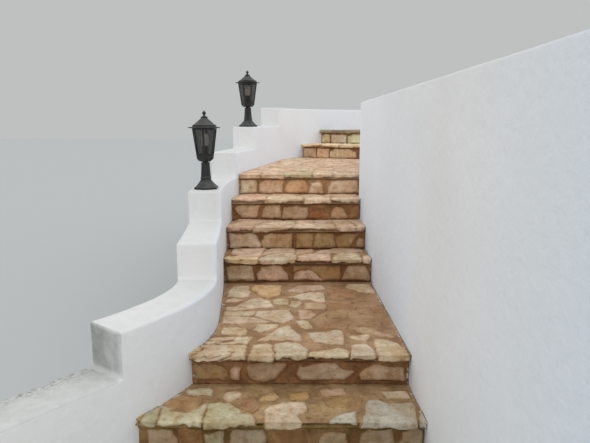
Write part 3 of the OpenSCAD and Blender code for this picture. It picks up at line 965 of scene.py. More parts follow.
# %% Stones of the three narrow treads
STONES_3 = [
    ("cracked", (-49, -9), (-28, -9), (-28.5, 2), (-36, 2), (-39, 4), (-47, 5)),
    ("pink", (-46, 29), (-25, 29), (-27.5, 7.5), (-37, 7.8), (-45, 13)),
    ("pale", (-25.5, -9), (-2, -9), (-1, 6), (-8, 16), (-14, 16), (-25, 1)),
    ("pink", (-24, 12), (-17.5, 28), (-2, 28), (-1.5, 14), (-10.5, 19.5), (-21.5, 12)),
    ("pink", (1, -9), (22, -9), (22, 12), (14, 14), (8.5, 12), (1.5, 6)),
    ("tan", (0, 14), (7, 18), (10.5, 19), (10, 27), (0, 26)),
    ("pink", (16.5, 19), (28.5, 28), (46, 28.5), (46.5, 22), (30, 16.5), (17, 14.5)),
    ("sand", (26, -9), (44, -9), (45, 3.5), (41.5, 15), (35.5, 18), (27.5, 5)),
    ("blush", (45.5, -9), (51, -9), (50, 8), (46.5, 6)),
]
STONES_4 = [
    ("pink", (-49, -9), (-33.5, -9), (-33, 1), (-40.5, 2.5), (-48.5, -1)),
    ("blush", (-47, 7), (-37, 21.5), (-28.5, 18.5), (-34.5, 4)),
    ("pink", (-45, 29), (-13, 29), (-17, 23), (-27, 22), (-43, 25)),
    ("blush", (-32, -9), (-5, -9), (-4.5, 3), (-7.5, 10), (-21, 8.5), (-29, 3.5)),
    ("blush", (-24.5, 12.5), (-10, 23), (-2, 18.5), (-3.5, 11), (-19.5, 10.5)),
    ("blush", (-3, -9), (27.5, -9), (27.5, 10), (7, 13), (1, 7)),
    ("pink", (1, 16), (3.5, 26), (11.5, 26), (13, 17)),
    ("blush", (13.5, 17), (16.5, 26), (25, 27.5), (27, 15.5)),
    ("blush", (28.5, 15.5), (29.5, 26), (39, 26), (40.5, 14)),
    ("blush", (29.5, -9), (43, -9), (43, 10), (29.5, 10)),
    ("pink", (44.5, -9), (50.5, -9), (49.5, 12), (45, 14)),
    ("blush", (42, 16), (49, 15), (48.5, 27), (42, 27)),
]
STONES_5 = [
    ("pink", (-47, -9), (-27.5, -9), (-26, 6), (-25, 17), (-28, 25), (-41.5, 25), (-45.5, 10)),
    ("blush", (-24, -9), (4.5, -9), (5, 6), (-3.5, 19), (-17.5, 21), (-23, 9.5)),
    ("pink", (-19, 26.5), (0, 28.5), (2, 21.5), (-10.5, 23)),
    ("blush", (6.5, -9), (26.5, -9), (26.5, 6), (24.5, 12), (17, 21), (7, 6)),
    ("blush", (3, 17.5), (5.5, 26.5), (14.5, 26.5), (7.5, 10)),
    ("blush", (28.5, -9), (49, -9), (49, 10), (35, 13.5), (28.5, 6)),
    ("pink", (24.5, 17.5), (28, 26.5), (47.5, 26.5), (48, 17.5), (38, 16)),
]
print("chosen paving stones:", sum(map(len, (STONES_1, STONES_2, STONES_3, STONES_4, STONES_5))))


# %% Rows and scatters for the upper steps
HALF_JOINT = 0.7
LEAN = 1.2
MOVED = 0.34
REACH = (0.45, 0.75)


def row(joints, low, high, tones):
    """One stone between each joint and the next, in centimetres. Its sides lean a little, by a
    sine of the joint's number."""
    leans = LEAN * np.sin(2.4 * np.arange(len(joints)))
    starts, ends = np.add(joints[:-1], HALF_JOINT), np.subtract(joints[1:], HALF_JOINT)
    return [(name, (start, low), (end, low), (end + lean, high), (start + last_lean, high - lean))
            for name, start, end, last_lean, lean in zip(tones, starts, ends, leans, leans[1:])]


def scatter(seed, low, high, pitch):
    """Cells on a grid from the low to the high corner, each moved by up to a third of a pitch.
    Each is its centre and its reach."""
    rng = np.random.default_rng(seed)
    lines = [np.arange(*limits) for limits in zip(low, high, pitch)]
    spots = np.stack(np.meshgrid(*lines), axis=-1).reshape(-1, 2)
    spots = spots + rng.uniform(-MOVED, MOVED, spots.shape) * pitch
    return np.column_stack([spots, rng.uniform(*REACH, len(spots)) * np.mean(pitch)])


STONES_6 = row([-52, -30, -10, 13, 31, 56], -9, 13, ["pink", "blush", "greenish", "blush", "blush"])
STONES_7 = (row([-2, 27, 50, 78, 108], -9, 13, ["cream", "pale", "cream", "pale"])
            + row([-2, 20, 45, 66, 90, 110], 14.5, 28.5, ["pink", "cream", "grey", "cream", "pink"]))
STONES_8 = row([-5, 15, 36, 70, 100, 130], -9, 13, ["lichen", "slate", "lichen", "moss", "lichen"])
TREAD_STONES = [STONES_1, STONES_2, STONES_3, STONES_4, STONES_5, STONES_6, STONES_7, STONES_8]
TREAD_CELLS = {6: scatter(61, (-0.6, 0.2), (1.4, 2.3), (0.27, 0.16)),
               8: scatter(81, (-0.1, 0.2), (1.5, 1.6), (0.2, 0.18))}
LANDING_TONES = ["pink", "pale", "blush", "pink", "blush", "pink"]
print("cells on the upper landings:", [len(cells) for cells in TREAD_CELLS.values()])

# %% [markdown]
# ## The paving as one sleeve per tread
#
# A tread's paving is a thick sheet of stones and mortar whose front edge hangs over the riser.
# Its outline, seen from the side, is carried from the left wall to the right one: back along
# the underside, round the worn front edge, and over the top to the next riser. That is a grid
# that closes on itself, a sleeve, and its two ends are closed inside the walls. The stone
# pattern is worked out on the unrolled sleeve, so a joint runs straight on down the front face.

# %% A closed sleeve of points
def sleeve(rows, columns):
    """Faces of a grid whose last row joins the first. The ends are closed by one face each."""
    index = np.arange(rows * columns).reshape(rows, columns)
    after = np.roll(index, -1, axis=0)
    quads = np.stack([index[:, :-1], index[:, 1:], after[:, 1:], after[:, :-1]], axis=-1)
    return quads.reshape(-1, 4).tolist() + [index[:, 0].tolist(), index[::-1, -1].tolist()]


print("faces of a sleeve of 4 by 3 points:", len(sleeve(4, 3)))


# %% Rows from wall to wall
IN_WALL = 0.006


def between_walls(sides, cell):
    """Points across the step on every row, from a little inside the left wall to a little inside
    the right one, and how far each lies from the left and from the right wall's face."""
    whole = (sides[1] - sides[0])[:, None]
    width = np.linalg.norm(whole, axis=-1)
    spare = IN_WALL / width
    columns = int(np.ceil(width.max() / cell))
    share = -spare + np.linspace(0, 1, columns) * (1 + 2 * spare)
    return sides[0][:, None] + whole * share[..., None], share * width, (1 - share) * width


def beside(line, plan):
    """Places of points across and behind a riser's line."""
    return (plan - line[0]) @ right_of(line[1]), (plan - line[0]) @ along(line[1])


# %% Side view of the front edge
PAVING = 0.045
NOSING = 0.035
NOSING_RADIUS = 0.013
TUCKED = 0.004


def nosing_profile(top):
    """Rows from the underside round the front edge to the top: place behind the riser's line,
    level, the surface's direction forwards and upwards, and the place on the unrolled sheet. The
    four parts are the underside, a quarter circle, the upright face and another quarter."""
    quarter = np.radians(np.linspace(0, 90, 6))
    sine, cosine = np.sin(quarter), np.cos(quarter)
    front = NOSING_RADIUS - NOSING
    low = top - PAVING + NOSING_RADIUS
    high = top - NOSING_RADIUS
    parts = [
        (np.linspace(TUCKED, front, 5), top - PAVING, 0, -1),
        (front - NOSING_RADIUS * sine[1:], low - NOSING_RADIUS * cosine[1:], -sine[1:], -cosine[1:]),
        (-NOSING, np.linspace(low, high, 6)[1:-1], -1, 0),
        (front - NOSING_RADIUS * cosine, high + NOSING_RADIUS * sine, -cosine, sine),
    ]
    offset, level, forward, upward = np.hstack([np.array(np.broadcast_arrays(*part)) for part in parts])
    walked = np.concatenate([[0], np.cumsum(np.hypot(np.diff(offset), np.diff(level)))])
    return offset, level, forward, upward, walked - walked[-1] + front


print("rows round a nosing:", len(nosing_profile(RISE)[0]))

# %% The sheet of one tread
PARALLEL = 0.03
BEHIND = 0.012


def tread_sheet(step, cell):
    """A tread before its stones are raised. The rows of the front edge are parallel to the
    riser. Behind them, both rails are divided alike and joined row by row. Each row has its
    level, how far it lies ahead of the riser, and its surface's direction. Each point has its
    place on the unrolled sheet and its distance from either wall."""
    near, far = riser_lines[step], riser_lines[step + 1]
    offset, level, forward, upward, unrolled = nosing_profile(RISE * step)
    ahead = -offset
    offset = np.concatenate([offset, np.arange(offset[-1] + cell, PARALLEL, cell)])
    courses = (left_course, right_course)
    behind = BEHIND if step < LAST_STEP else 0.0
    ends = [(course.meets(near, PARALLEL), course.meets(far, behind)) for course in courses]
    count = max(int(np.ceil((stop - start) / cell)) for start, stop in ends)
    sides = [course.at(np.concatenate([course.meets(near, offset), np.linspace(*end, count)]))[0]
             for course, end in zip(courses, ends)]
    plan, from_left, from_right = between_walls(sides, cell)
    a, b = beside(near, plan)
    b[:len(unrolled)] = unrolled[:, None]
    more = (0, len(plan) - len(unrolled))
    return SimpleNamespace(
        plan=plan, a=a, b=b, from_left=from_left, from_right=from_right,
        level=np.pad(level, more, constant_values=RISE * step)[:, None],
        ahead=np.pad(ahead, more)[:, None], forward=np.pad(forward, more)[:, None],
        upward=np.pad(upward, more, constant_values=1.0)[:, None])


print("rows and columns of a coarse landing:", tread_sheet(2, 0.05).plan.shape[:2])

# %% Raising the stones of a tread
EDGE_ROUND = 0.009
STONE_RELIEF = 0.005
MORTAR_DIP = 0.003
TOP_ROUGH = ((0.0014, 0.034, 2.0), (0.0008, 0.012, 7.0))
LEDGES = 0.0022
LEDGE_WAVE = 0.022
FRONT_CHIPS = ((0.004, 0.05, 4.0), (0.002, 0.016, 1.0))
FRONT_BACK = 0.003
FRONT_ROUND = 0.006
FRONT_DIP = 0.009
UNDERSIDE = 0.3
UNDERCUT = 0.020
LEFT_ONLY = 2
CORNER_PULL = 0.034
PULL_WIDTHS = (0.12, 0.06, 0.04, 0.05, 0.04, 0.05, 0.04, 0.04)
PULL_WAVE = 0.03
PULL_DEPTH = 0.05


def raised(sheet, step, depth, lift, setback):
    """The sheet's points, moved along its own direction. On top, stones stand over the joints by
    a quarter round at their edges. Down the front, each is broken off at a place of its own, and
    the mortar between and under them lies well back. The edge is drawn back beside the walls, on
    the two lowest treads only beside the left one."""
    a, b = sheet.a, sheet.b
    rounding = 1 - np.sqrt(np.clip(1 - (1 - np.clip(depth / EDGE_ROUND, 0, 1)) ** 2, 0, 1))
    top = lift + rough(a, b, *TOP_ROUGH) - LEDGES * np.abs(flat_noise(a * 0.4, b, LEDGE_WAVE, 5.0))
    top = top - STONE_RELIEF * rounding - MORTAR_DIP * sheet.in_joint
    front = rough(a, b, *FRONT_CHIPS) - FRONT_BACK - setback
    front = front - FRONT_ROUND * rounding - FRONT_DIP * sheet.in_joint
    rise = np.where(sheet.upward < 0, UNDERSIDE, 1) * sheet.upward ** 2 * top
    rise = rise + sheet.forward ** 2 * front
    nearest = np.minimum(sheet.from_left, sheet.from_right)
    from_end = sheet.from_left if step <= LEFT_ONLY else nearest
    pull = CORNER_PULL * np.clip(1 - from_end / PULL_WIDTHS[step - 1], 0, 1) ** 1.5
    pull = pull * (1 + 0.5 * flat_noise(a, b, PULL_WAVE, 6.0)) * np.clip(1 - b / PULL_DEPTH, 0, 1)
    undercut = UNDERCUT * sheet.hollow * np.clip(sheet.ahead / NOSING, 0, 1)
    back = rise * sheet.forward + np.maximum(pull, undercut)
    moved = sheet.plan + along(riser_lines[step][1]) * back[..., None]
    return np.concatenate([moved, (sheet.level + rise * sheet.upward)[..., None]], axis=-1)


# %% Grime of a tread
FOOT_GRIME_AND_SHADE = 0.012
GRIME_AND_SHADE_WAVE = 0.075


def tread_grime_and_shade(sheet, step):
    """Grime and painted shade at the foot of the next riser, on the underside, in the joints and hollows
    of the front, and in patches that grow down it towards the underside."""
    a, facing = sheet.a, np.abs(sheet.forward)
    behind = np.abs(beside(riser_lines[step + 1], sheet.plan)[1])
    below = np.clip((RISE * step - sheet.level) / PAVING, 0, 1)
    stains = np.clip(0.5 + 1.1 * flat_noise(a, 0 * a, GRIME_AND_SHADE_WAVE, 4.0 + step), 0, 1)
    # Grime and painted shade at the foot of the next riser and on the underside of the nosing.
    grime = np.maximum(0.7 * np.exp(-behind / FOOT_GRIME_AND_SHADE), 0.8 * np.clip(-sheet.upward, 0, 1))
    grime = np.maximum(grime, 0.6 * facing * sheet.in_joint)
    grime = np.maximum(grime, facing * below ** 1.5 * (0.35 + 0.75 * stains))
    return np.maximum(grime, sheet.hollow * (0.55 + 0.4 * stains))


# %% One tread
TREAD_GROWN = (0.005, 0.008, 0.022, 0.022, 0.022, 0.012, 0.012, 0.012)
TREAD_CLEAN = (-0.04, 0.0, 0.04, 0.03, 0.16, 0.08, 0.38, -0.06)
TREAD_SEED = 20
JOINT_SLOPE = 0.006
HOLLOW_START = 0.045
HOLLOW_SLOPE = 0.012


def tread_surface(step, cell):
    """The tread's sleeve: the raised sheet, and one plain row that closes it at the back."""
    sheet = tread_sheet(step, cell)
    cells = TREAD_CELLS.get(step, ())
    cell_tones = np.random.default_rng(step).choice(LANDING_TONES, len(cells))
    depth, plain, lift, setback = laid(
        sheet.a, sheet.b, TREAD_STONES[step - 1], TREAD_SEED + step, TREAD_GROWN[step - 1],
        TREAD_CLEAN[step - 1], cells, cell_tones, hanging=True)
    sheet.in_joint = np.clip(-depth / JOINT_SLOPE, 0, 1)
    sheet.hollow = sheet.in_joint * np.clip((-sheet.b - HOLLOW_START) / HOLLOW_SLOPE, 0, 1)
    points = raised(sheet, step, depth, lift, setback)
    back = points[-1:] * (1, 1, 0) + (0, 0, RISE * step - PAVING)
    points = np.concatenate([points, back])
    seam = np.maximum(np.minimum(sheet.from_left, sheet.from_right), 0)
    marks = {"stone": plain, "depth": depth, "grime": tread_grime_and_shade(sheet, step), "seam": seam}
    marks = {name: np.concatenate([values, values[-1:]]) for name, values in marks.items()}
    return points, sleeve(*points.shape[:2]), marks


# %% [markdown]
# ## Limestone in its mortar
#
# One finish does for all the stonework. The tone of each stone is stored on the mesh, and so is
# the depth inside the stone. Where the depth, frayed by two noises, falls under zero, the mortar
# shows, and here and there it is smeared over a stone's edge. Limestone is stained at three
# scales: broad ochre stains, bleached and brown blotches, and a fine speckle. Grime and painted
# shade fill the joints and hollows of the front edges, a thin dark seam of painted contact shadow
# runs along the walls, and beside it lie white flecks of the walls' paint.

# %% Stains
BLEACHED = (1.24, 1.24, 1.25, 1.0)


def stained(finish, shade, *stains):
    """Multiplies a tone by one stain after another, each as (signal, low, high, share, tone): it
    grows to its share as the signal goes from low to high."""
    for signal, low, high, share, stain in stains:
        shade = finish.mix(finish.between(signal, low, high, 0.0, share), shade, stain, "MULTIPLY")
    return shade


# %% Stone and mortar
FRAY = 0.013
FINE_FRAY = 0.004
PARTING = 0.0024
CONTACT_SHADOW_WIDTH = 0.0065
STONE_GRAIN = 0.002
STONE_PITS = 0.005


def stonework(name, mortar, deep_mortar, grime_and_shade_tone, smear):
    """Stone where the frayed depth is over zero and mortar elsewhere, then the dark parting between
    them, the grime and painted shade, the flecks of paint and the painted contact shadow along the
    walls."""
    finish = Finish(name)
    depth, grime, seam = [finish.painted(mark, "Fac") for mark in ("depth", "grime", "seam")]
    fine = finish.noise(150.0)
    ragged = finish.noise(55.0, 5.0, 0.62)
    blotch = finish.noise(24.0)
    broad = finish.noise(7.0)
    shade = stained(
        finish, finish.painted("stone"),
        (broad, 0.46, 0.64, 0.6, tone("e6d3b6")), (broad, 0.46, 0.34, 0.7, BLEACHED),
        (blotch, 0.52, 0.68, 0.6, tone("dcc7a9")), (blotch, 0.47, 0.33, 0.7, BLEACHED),
        (ragged, 0.54, 0.7, 0.6, tone("cdb595")), (fine, 0.5, 0.75, 0.25, tone("bda589")))
    worn_edge = finish.between(depth + (ragged - 0.5) * 0.02, 0.015, 0.0, 0.0, 0.5)
    shade = finish.mix(worn_edge, shade, tone("b0885e"))
    bed = stained(
        finish, finish.mix(finish.between(broad, 0.38, 0.62), tone(mortar), tone(deep_mortar)),
        (blotch, 0.47, 0.32, 0.8, BLEACHED), (ragged, 0.53, 0.7, 0.6, tone("c9ae90")),
        (fine, 0.5, 0.75, 0.3, tone("bda589")))
    frayed = depth + (fine - 0.5) * FINE_FRAY + (ragged - 0.5) * FRAY
    frayed = frayed - finish.between(broad, 0.5, 0.7) * smear
    surface = finish.mix(finish.between(frayed, -0.003, 0.004), bed, shade)
    parting = finish.add("Math", {"operation": "ABSOLUTE"}, {0: frayed - 0.0005})
    parting = finish.between(parting, PARTING, 0.0004, 0.0, 0.7) * finish.between(blotch, 0.46, 0.58)
    surface = finish.mix(parting, surface, tone("553d27"))
    # Grime and painted shade darken the joints, hollows and undersides.
    soiled_and_shaded = finish.between(grime + (ragged - 0.5) * 0.9, 0.35, 0.95, 0.0, 0.8)
    surface = finish.mix(soiled_and_shaded, surface, tone(grime_and_shade_tone))
    splashed = (blotch - 0.5) * 0.09 + (ragged - 0.5) * 0.05 - seam
    surface = finish.mix(finish.between(splashed, -0.002, 0.004, 0.0, 0.85), surface, tone("dad7d0"))
    # A painted contact shadow: a thin dark line along the walls where the steps meet them.
    contact_shadow = finish.between(seam + (ragged - 0.5) * 0.012, CONTACT_SHADOW_WIDTH, 0.002, 0.0, 0.75)
    surface = finish.mix(contact_shadow * finish.between(blotch, 0.42, 0.5), surface, tone("5d554a"))
    normal = finish.bump(ragged, STONE_PITS, finish.bump(fine, STONE_GRAIN))
    dull = finish.between(fine, 0.3, 0.7, 0.78, 0.95)
    return finish.wear(Base_Color=surface, Roughness=dull, Normal=normal, Specular_IOR_Level=0.3)


damp_paving = stonework("damp_paving", "b89a70", "9b7c57", "7d6528", 0.006)
worn_paving = stonework("worn_paving", "ba9772", "9f7b59", "6a4d33", 0.005)
dry_paving = stonework("dry_paving", "d9bb98", "c7a581", "7c5c40", 0.003)
bleached_paving = stonework("bleached_paving", "d6bda1", "c9ae91", "8d7358", 0.004)
damp_riser = stonework("damp_riser", "98774d", "7a5a33", "755f22", 0.004)
worn_riser = stonework("worn_riser", "a47a51", "865d3b", "5a3d24", 0.003)
dry_riser = stonework("dry_riser", "c69e76", "ad865f", "80603f", 0.002)
paving_finishes = [damp_paving] + 2 * [worn_paving] + [dry_paving] + 4 * [bleached_paving]
riser_finishes = [damp_riser] + 4 * [worn_riser] + [dry_riser] + 2 * [worn_riser]
print("finishes of the treads:", [finish.name for finish in paving_finishes])

# %% Treads
TREAD_CELL_SIZES = (0.0050, 0.0058, 0.0050, 0.0050, 0.0050, 0.0078, 0.0062, 0.009)
for step, (cell, finish) in enumerate(zip(TREAD_CELL_SIZES, paving_finishes), start=1):
    tread = mesh_piece("paved_tread_%d" % step, *tread_surface(step, cell), finish)
    settle(tread, "paving", "tread_%d" % step)

# %% [markdown]
# ## Rubble risers
#
# Between two treads the face of the step is a single course of rubble, four to eight stones that
# leave a band of mortar free under the nosing, darkened there by grime and painted shade. They are
# written down as the paving is, in centimetres: across the step, and up from the lower tread.

# %% Stones of the risers
RISER_STONES = [
    [("tan", (-65, 1), (-64, 10), (-56, 10.5), (-53, 7), (-53, 1)),
     ("umber", (-51.5, 1), (-51.5, 10.5), (-43, 11), (-41.5, 1)),
     ("greenish", (-40.5, 1), (-40, 8), (-33, 8.5), (-31.5, 1)),
     ("ash", (-28.5, 1), (-28.5, 9.5), (-26, 11.5), (-15.5, 11.5), (-14.5, 1)),
     ("umber", (-11, 1), (-9, 9.5), (4, 10.5), (5, 1)),
     ("tan", (9.5, 1), (12, 8.5), (21, 8), (22.5, 1)),
     ("ash", (26.5, 1), (28, 8), (33, 11.5), (40, 11), (42.5, 1)),
     ("ash", (45, 1), (46, 9), (51, 11), (53.5, 9), (53.5, 1))],
    [("olive", (-49.5, 3), (-49, 8.5), (-38, 9.5), (-32, 5), (-33, 2.5)),
     ("rose", (-35, 2.8), (-31, 8), (-28, 7.5), (-28.5, 2.8)),
     ("dusk", (-23, 3.5), (-23.5, 8), (-18.5, 10.2), (-6, 10), (-11, 3), (-16, 1)),
     ("ash", (0.5, 4.5), (2, 8), (9.5, 9.3), (18, 9), (26.5, 5), (23, 2.8), (2, 2.3)),
     ("rose", (30.5, 3.5), (34, 7.5), (42, 8.5), (50.5, 7), (51.5, 2.5), (31.5, 2.5))],
    [("ash", (-47.5, 1), (-30.5, 1.2), (-30.3, 6), (-31.5, 11), (-47, 9.8)),
     ("rose", (-27, 1.5), (-6.2, 1.5), (-11, 10.8), (-24, 9.3), (-27, 5.5)),
     ("pink", (-1.5, 1.5), (-1.5, 5.5), (3, 7.5), (10.5, 7.8), (17, 1.5)),
     ("olive", (-2, 6.5), (0, 11.5), (12, 12), (29, 11.8), (30, 1.5), (18.5, 1.5), (11, 8.8), (3, 8.5)),
     ("dusk", (31.5, 1.2), (33, 5.8), (37, 10), (47, 10.8), (49.8, 5.5), (49.8, 1))],
    [("blush", (-49.2, 0.8), (-28, 0.8), (-27.5, 3.5), (-29.5, 8), (-34, 11.5), (-38.5, 10),
      (-49.2, 10)),
     ("tan", (-25.5, 4), (-23, 9.2), (-18.5, 10.8), (-12, 9.8), (-4, 10.2), (-4.5, 0.9), (-24.5, 0.9)),
     ("olive", (0.5, 0.9), (0.9, 9.5), (11.2, 10.5), (11.5, 0.9)),
     ("olive", (12.8, 0.9), (13.5, 6), (17, 10.8), (26, 11), (29, 0.9)),
     ("olive", (30, 5.5), (31, 8), (37, 10.5), (44, 10), (42, 5), (39, 0.8), (32, 0.8)),
     ("dusk", (45, 1), (49.5, 1), (49.5, 6), (46.5, 7))],
    [("tan", (-49, 9), (-45, 10.4), (-35, 10.6), (-30, 10), (-32.3, 1.2), (-43, 1)),
     ("tan", (-26.5, 1.2), (-26.5, 7), (-24, 9.8), (-14, 9.8), (-12.8, 1.2)),
     ("tan", (-11, 1.2), (-10, 8.3), (-6, 9.5), (1.5, 9), (8.3, 8.8), (8.3, 1.2)),
     ("ember", (9.5, 0.5), (12, 4), (20, 6), (27, 2.5), (27, 0.5)),
     ("orange", (27.8, 1), (28.8, 6), (32.3, 9.5), (37, 8), (40, 1)),
     ("umber", (44, 1), (45, 7.5), (49, 9), (49, 1))],
    [("pale", (-46.4, 0.9), (-46, 10.6), (-35, 11), (-33.6, 7.5), (-34, 0.9)),
     ("rose", (-30.5, 0.9), (-30.5, 8.5), (-26, 11), (-11.5, 10.5), (-13, 0.9)),
     ("orange", (-10, 2.5), (-6, 10), (0.5, 11.3), (5, 11), (9.5, 7), (9, 0.9), (-8, 0.9)),
     ("blush", (11, 0.9), (13, 8), (19.5, 9), (21.8, 6.5), (21.3, 0.9)),
     ("blush", (26.8, 0.9), (29.5, 8), (34, 10), (50.5, 10.5), (52, 0.9))],
    [("ash", (1.5, 0.5), (2, 10.5), (17.5, 11), (18, 0.5)),
     ("rose", (20.7, 0.5), (20.7, 10), (35, 10.5), (35.6, 0.5)),
     ("cream", (38, 0.5), (38.5, 7.5), (45, 11), (62, 10.5), (70, 7), (70.5, 1)),
     ("ash", (78, 0.5), (78, 9), (90, 10.5), (105, 9), (106, 0.5))],
    [("greenish", (2, 0.5), (3, 9), (8, 11.5), (12.5, 10), (12.5, 0.5)),
     ("grey", (15.5, 0.5), (15.5, 9.5), (34, 10), (34, 0.5)),
     ("greenish", (37.5, 0.5), (37.5, 8), (46, 10.5), (66, 9), (67, 0.5)),
     ("grey", (71, 0.5), (71, 9.5), (95, 10), (95, 0.5)),
     ("ash", (98, 0.5), (98, 10), (120, 10), (120, 0.5))],
]
print("stones in each riser:", [len(stones) for stones in RISER_STONES])

# %% One riser
FACING = 0.06
BURIED_ROW = 0.012
RISER_SEED = 40
RISER_GROWN = 0.009
RISER_CLEAN = (-0.26, -0.13, 0.04, 0.04, -0.02, 0.18, 0.16, 0.17)
SWELL_RUN = 0.02
BULGE = 0.006
EDGE_BACK = 0.006
MORTAR_BACK = 0.017
MORTAR_SLOPE = 0.008
FACE_ROUGH = ((0.002, 0.03, 3.0), (0.001, 0.012, 8.0))
HACKED = 0.005
HACK_WAVE = 0.045
FILLET = 0.022
FILLET_WAVE = 0.05
FILLET_RUN = 0.1
RISER_FOOT_GRIME_AND_SHADE = 0.005
UNDER_NOSING_SHADE = 0.015


def face_relief(a, up, depth, setback, from_end):
    """How far a riser's face stands out. A stone swells past the riser's line and rounds off over
    its edges into the mortar, and a ragged fillet of mortar closes the corner under the nosing."""
    swell = np.clip(depth / SWELL_RUN, 0, 1)
    swell = swell * (2 - swell)
    out = np.where(depth > 0, BULGE * swell - setback / 2 - EDGE_BACK * (1 - swell), -EDGE_BACK)
    out = out - (MORTAR_BACK - EDGE_BACK) * np.clip(-depth / MORTAR_SLOPE, 0, 1)
    out = out + rough(a, up, *FACE_ROUGH)
    out = out - HACKED * swell * np.abs(flat_noise(a, up, HACK_WAVE, 11.0))
    under = np.clip(1 - (RISE - PAVING - up) / FILLET, 0, 1) ** 2 * np.clip(from_end / FILLET_RUN, 0, 1)
    return out + FILLET * under * (1 + 0.5 * flat_noise(a, up, FILLET_WAVE, 6.0))


def riser_surface(step, cell):
    """The riser's sleeve: a finely divided face, and a plain top, back and foot."""
    line = riser_lines[step]
    ground = RISE * (step - 1)
    buried = PAVING if step > 1 else 0.0
    high = RISE * step - PAVING
    face = np.arange(ground - min(buried, BURIED_ROW), high, cell)
    level = np.concatenate([[ground - buried], face, [high, high, ground - buried]])
    offset = np.concatenate([np.zeros(len(level) - 2), [FACING, FACING]])
    sides = [course.at(course.meets(line, offset))[0] for course in (left_course, right_course)]
    plan, from_left, from_right = between_walls(sides, cell)
    from_end = np.maximum(np.minimum(from_left, from_right), 0)
    a = beside(line, plan)[0]
    up = np.broadcast_to((level - ground)[:, None], a.shape)
    depth, plain, _, setback = laid(a, up, RISER_STONES[step - 1], RISER_SEED + step, RISER_GROWN,
                                    RISER_CLEAN[step - 1])
    out = face_relief(a, up, depth, setback, from_end) * (offset == 0)[:, None]
    moved = plan - along(line[1]) * out[..., None]
    points = np.concatenate([moved, np.broadcast_to(level[:, None, None], (*a.shape, 1))], axis=-1)
    # Grime and painted shade at the riser's foot, and painted shade under the nosing.
    foot = 0.6 * np.exp(-np.maximum(up, 0) / RISER_FOOT_GRIME_AND_SHADE)
    grime = np.maximum(foot, 0.95 * np.exp(-(RISE - PAVING - up) / UNDER_NOSING_SHADE))
    marks = {"stone": plain, "depth": depth, "grime": grime, "seam": from_end}
    return points, sleeve(*a.shape), marks


# %% Risers
RISER_CELL = 0.0046
for step, finish in enumerate(riser_finishes, start=1):
    riser = mesh_piece("rubble_riser_%d" % step, *riser_surface(step, RISER_CELL), finish)
    settle(riser, "riser_stone", "riser_%d" % step)

# %% [markdown]
# ## The core and the lanterns
#
# Under the steps lies plain rubble in mortar, which shows only at the stair's far end. The
# measured solids have the right shape for it and for the lanterns, so these keep their own
# surfaces and only get a finish.

# %% Rubble core
RUBBLE_RELIEF = 0.02


def rubble():
    """Stones as the cells of a Voronoi pattern, with mortar near the cells' borders."""
    finish = Finish("rubble_and_mortar")
    cells = {"Vector": finish.place, "Scale": 7.0, "Randomness": 0.9}
    border = finish.add("TexVoronoi", {"feature": "DISTANCE_TO_EDGE"}, cells, give="Distance")
    own = finish.add("TexVoronoi", {}, cells, give="Color")
    fine = finish.noise(110.0, 4.0)
    stone = finish.mix(own, tone("ad8f6c"), tone("8f7a62"))
    is_stone = finish.between(border + (fine - 0.5) * 0.05, 0.05, 0.1)
    shade = finish.mix(is_stone, tone("7a5d42"), stone)
    shade = finish.mix(finish.between(fine, 0.3, 0.75, 0.0, 0.45), shade, tone("6d5540"))
    normal = finish.bump(finish.between(border, 0.0, 0.16) + fine * 0.2, RUBBLE_RELIEF)
    return finish.wear(Base_Color=shade, Roughness=0.92, Normal=normal)


# %% Cast iron and smoky glass
IRON_PITS = 0.0006
LET_THROUGH = 0.52


def cast_iron():
    """Black paint that drifts between two tones, with dust and a painted sky highlight where it looks
    upwards.
    """
    finish = Finish("black_cast_iron")
    pitted = finish.noise(260.0)
    patches = finish.noise(22.0, 4.0, 0.6)
    normal = finish.add("NewGeometry", give="Normal")
    upward = finish.add("SeparateXYZ", sockets={"Vector": normal}, give="Z")
    # Dust and a painted highlight from the sky on the faces that look upwards.
    dust_and_sky_highlight = finish.between(upward + (patches - 0.5) * 0.9, 0.25, 0.95, 0.02, 0.42)
    shade = finish.mix(finish.between(patches, 0.4, 0.7), tone("1b1b1d"), tone("262628"))
    shade = finish.mix(dust_and_sky_highlight, shade, tone("7d7c76"))
    satin = finish.between(patches, 0.3, 0.7, 0.38, 0.58)
    return finish.wear(Base_Color=shade, Roughness=satin, Normal=finish.bump(pitted, IRON_PITS))


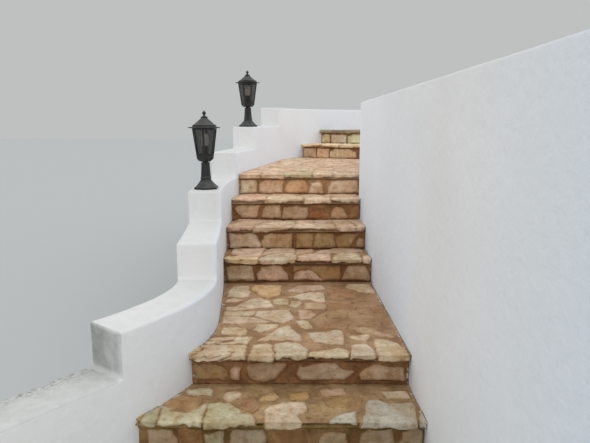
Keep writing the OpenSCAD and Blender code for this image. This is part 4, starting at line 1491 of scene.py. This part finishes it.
def smoky_glass():
    """Brown glass, its tint partly painted shade, that lets about half of the light through and shines
    less where smeared.
    """
    finish = Finish("smoky_glass")
    smears = finish.noise(18.0)
    # The dark tint is partly painted shade, standing for the dark surroundings seen through the panes.
    shade = finish.mix(finish.between(smears, 0.3, 0.7), tone("1f1c18"), tone("332e28"))
    gloss = finish.between(smears, 0.3, 0.7, 0.08, 0.22)
    return finish.wear(Base_Color=shade, Roughness=gloss, Alpha=1 - LET_THROUGH)


# %% Opal bulb on a dark holder
HOLDER_HEIGHT = 0.072
HALF_STEP = 0.0005
PASSED_ON = 0.22


def opal_bulb(name, foot):
    """One finish for bulb and holder. It goes over from one to the other at the holder's top. Opal
    glass passes on the daylight that falls on its far side, which the faint emission stands for."""
    finish = Finish(name)
    frost = finish.noise(90.0)
    level = finish.add("SeparateXYZ", sockets={"Vector": finish.place}, give="Z")
    holder_top = foot + HOLDER_HEIGHT
    is_bulb = finish.between(level, holder_top - HALF_STEP, holder_top + HALF_STEP)
    opal = finish.mix(frost, tone("f0ede4"), tone("dedacd"))
    shade = finish.mix(is_bulb, tone("242322"), opal)
    glow = finish.mix(is_bulb, tone("000000"), tone("fff4e6"))
    gloss = finish.between(frost, 0.3, 0.7, 0.25, 0.4)
    return finish.wear(Base_Color=shade, Roughness=gloss, Emission_Color=glow,
                       Emission_Strength=PASSED_ON)


# %% Finish the solids that keep their shape
def dress(node, material):
    """Puts one finish on every material slot of a measured solid."""
    for place in nodes[node].material_slots:
        place.material = material


rubble_finish = rubble()
for part in ("foot", "flight", "landing", "head"):
    dress("core_%s" % part, rubble_finish)
iron_finish = cast_iron()
glass_finish = smoky_glass()
for place in ("lower", "upper"):
    for part in ("pedestal", "cage", "roof", "finial"):
        dress("%s_lantern_%s" % (place, part), iron_finish)
    dress("%s_lantern_glass" % place, glass_finish)
    bulb = "%s_lantern_lamp" % place
    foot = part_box(bulb)[0][2]
    dress(bulb, opal_bulb("%s_bulb" % place, foot))
    print("the", place, "bulb starts", round(foot + HOLDER_HEIGHT, 3), "m over the ground")
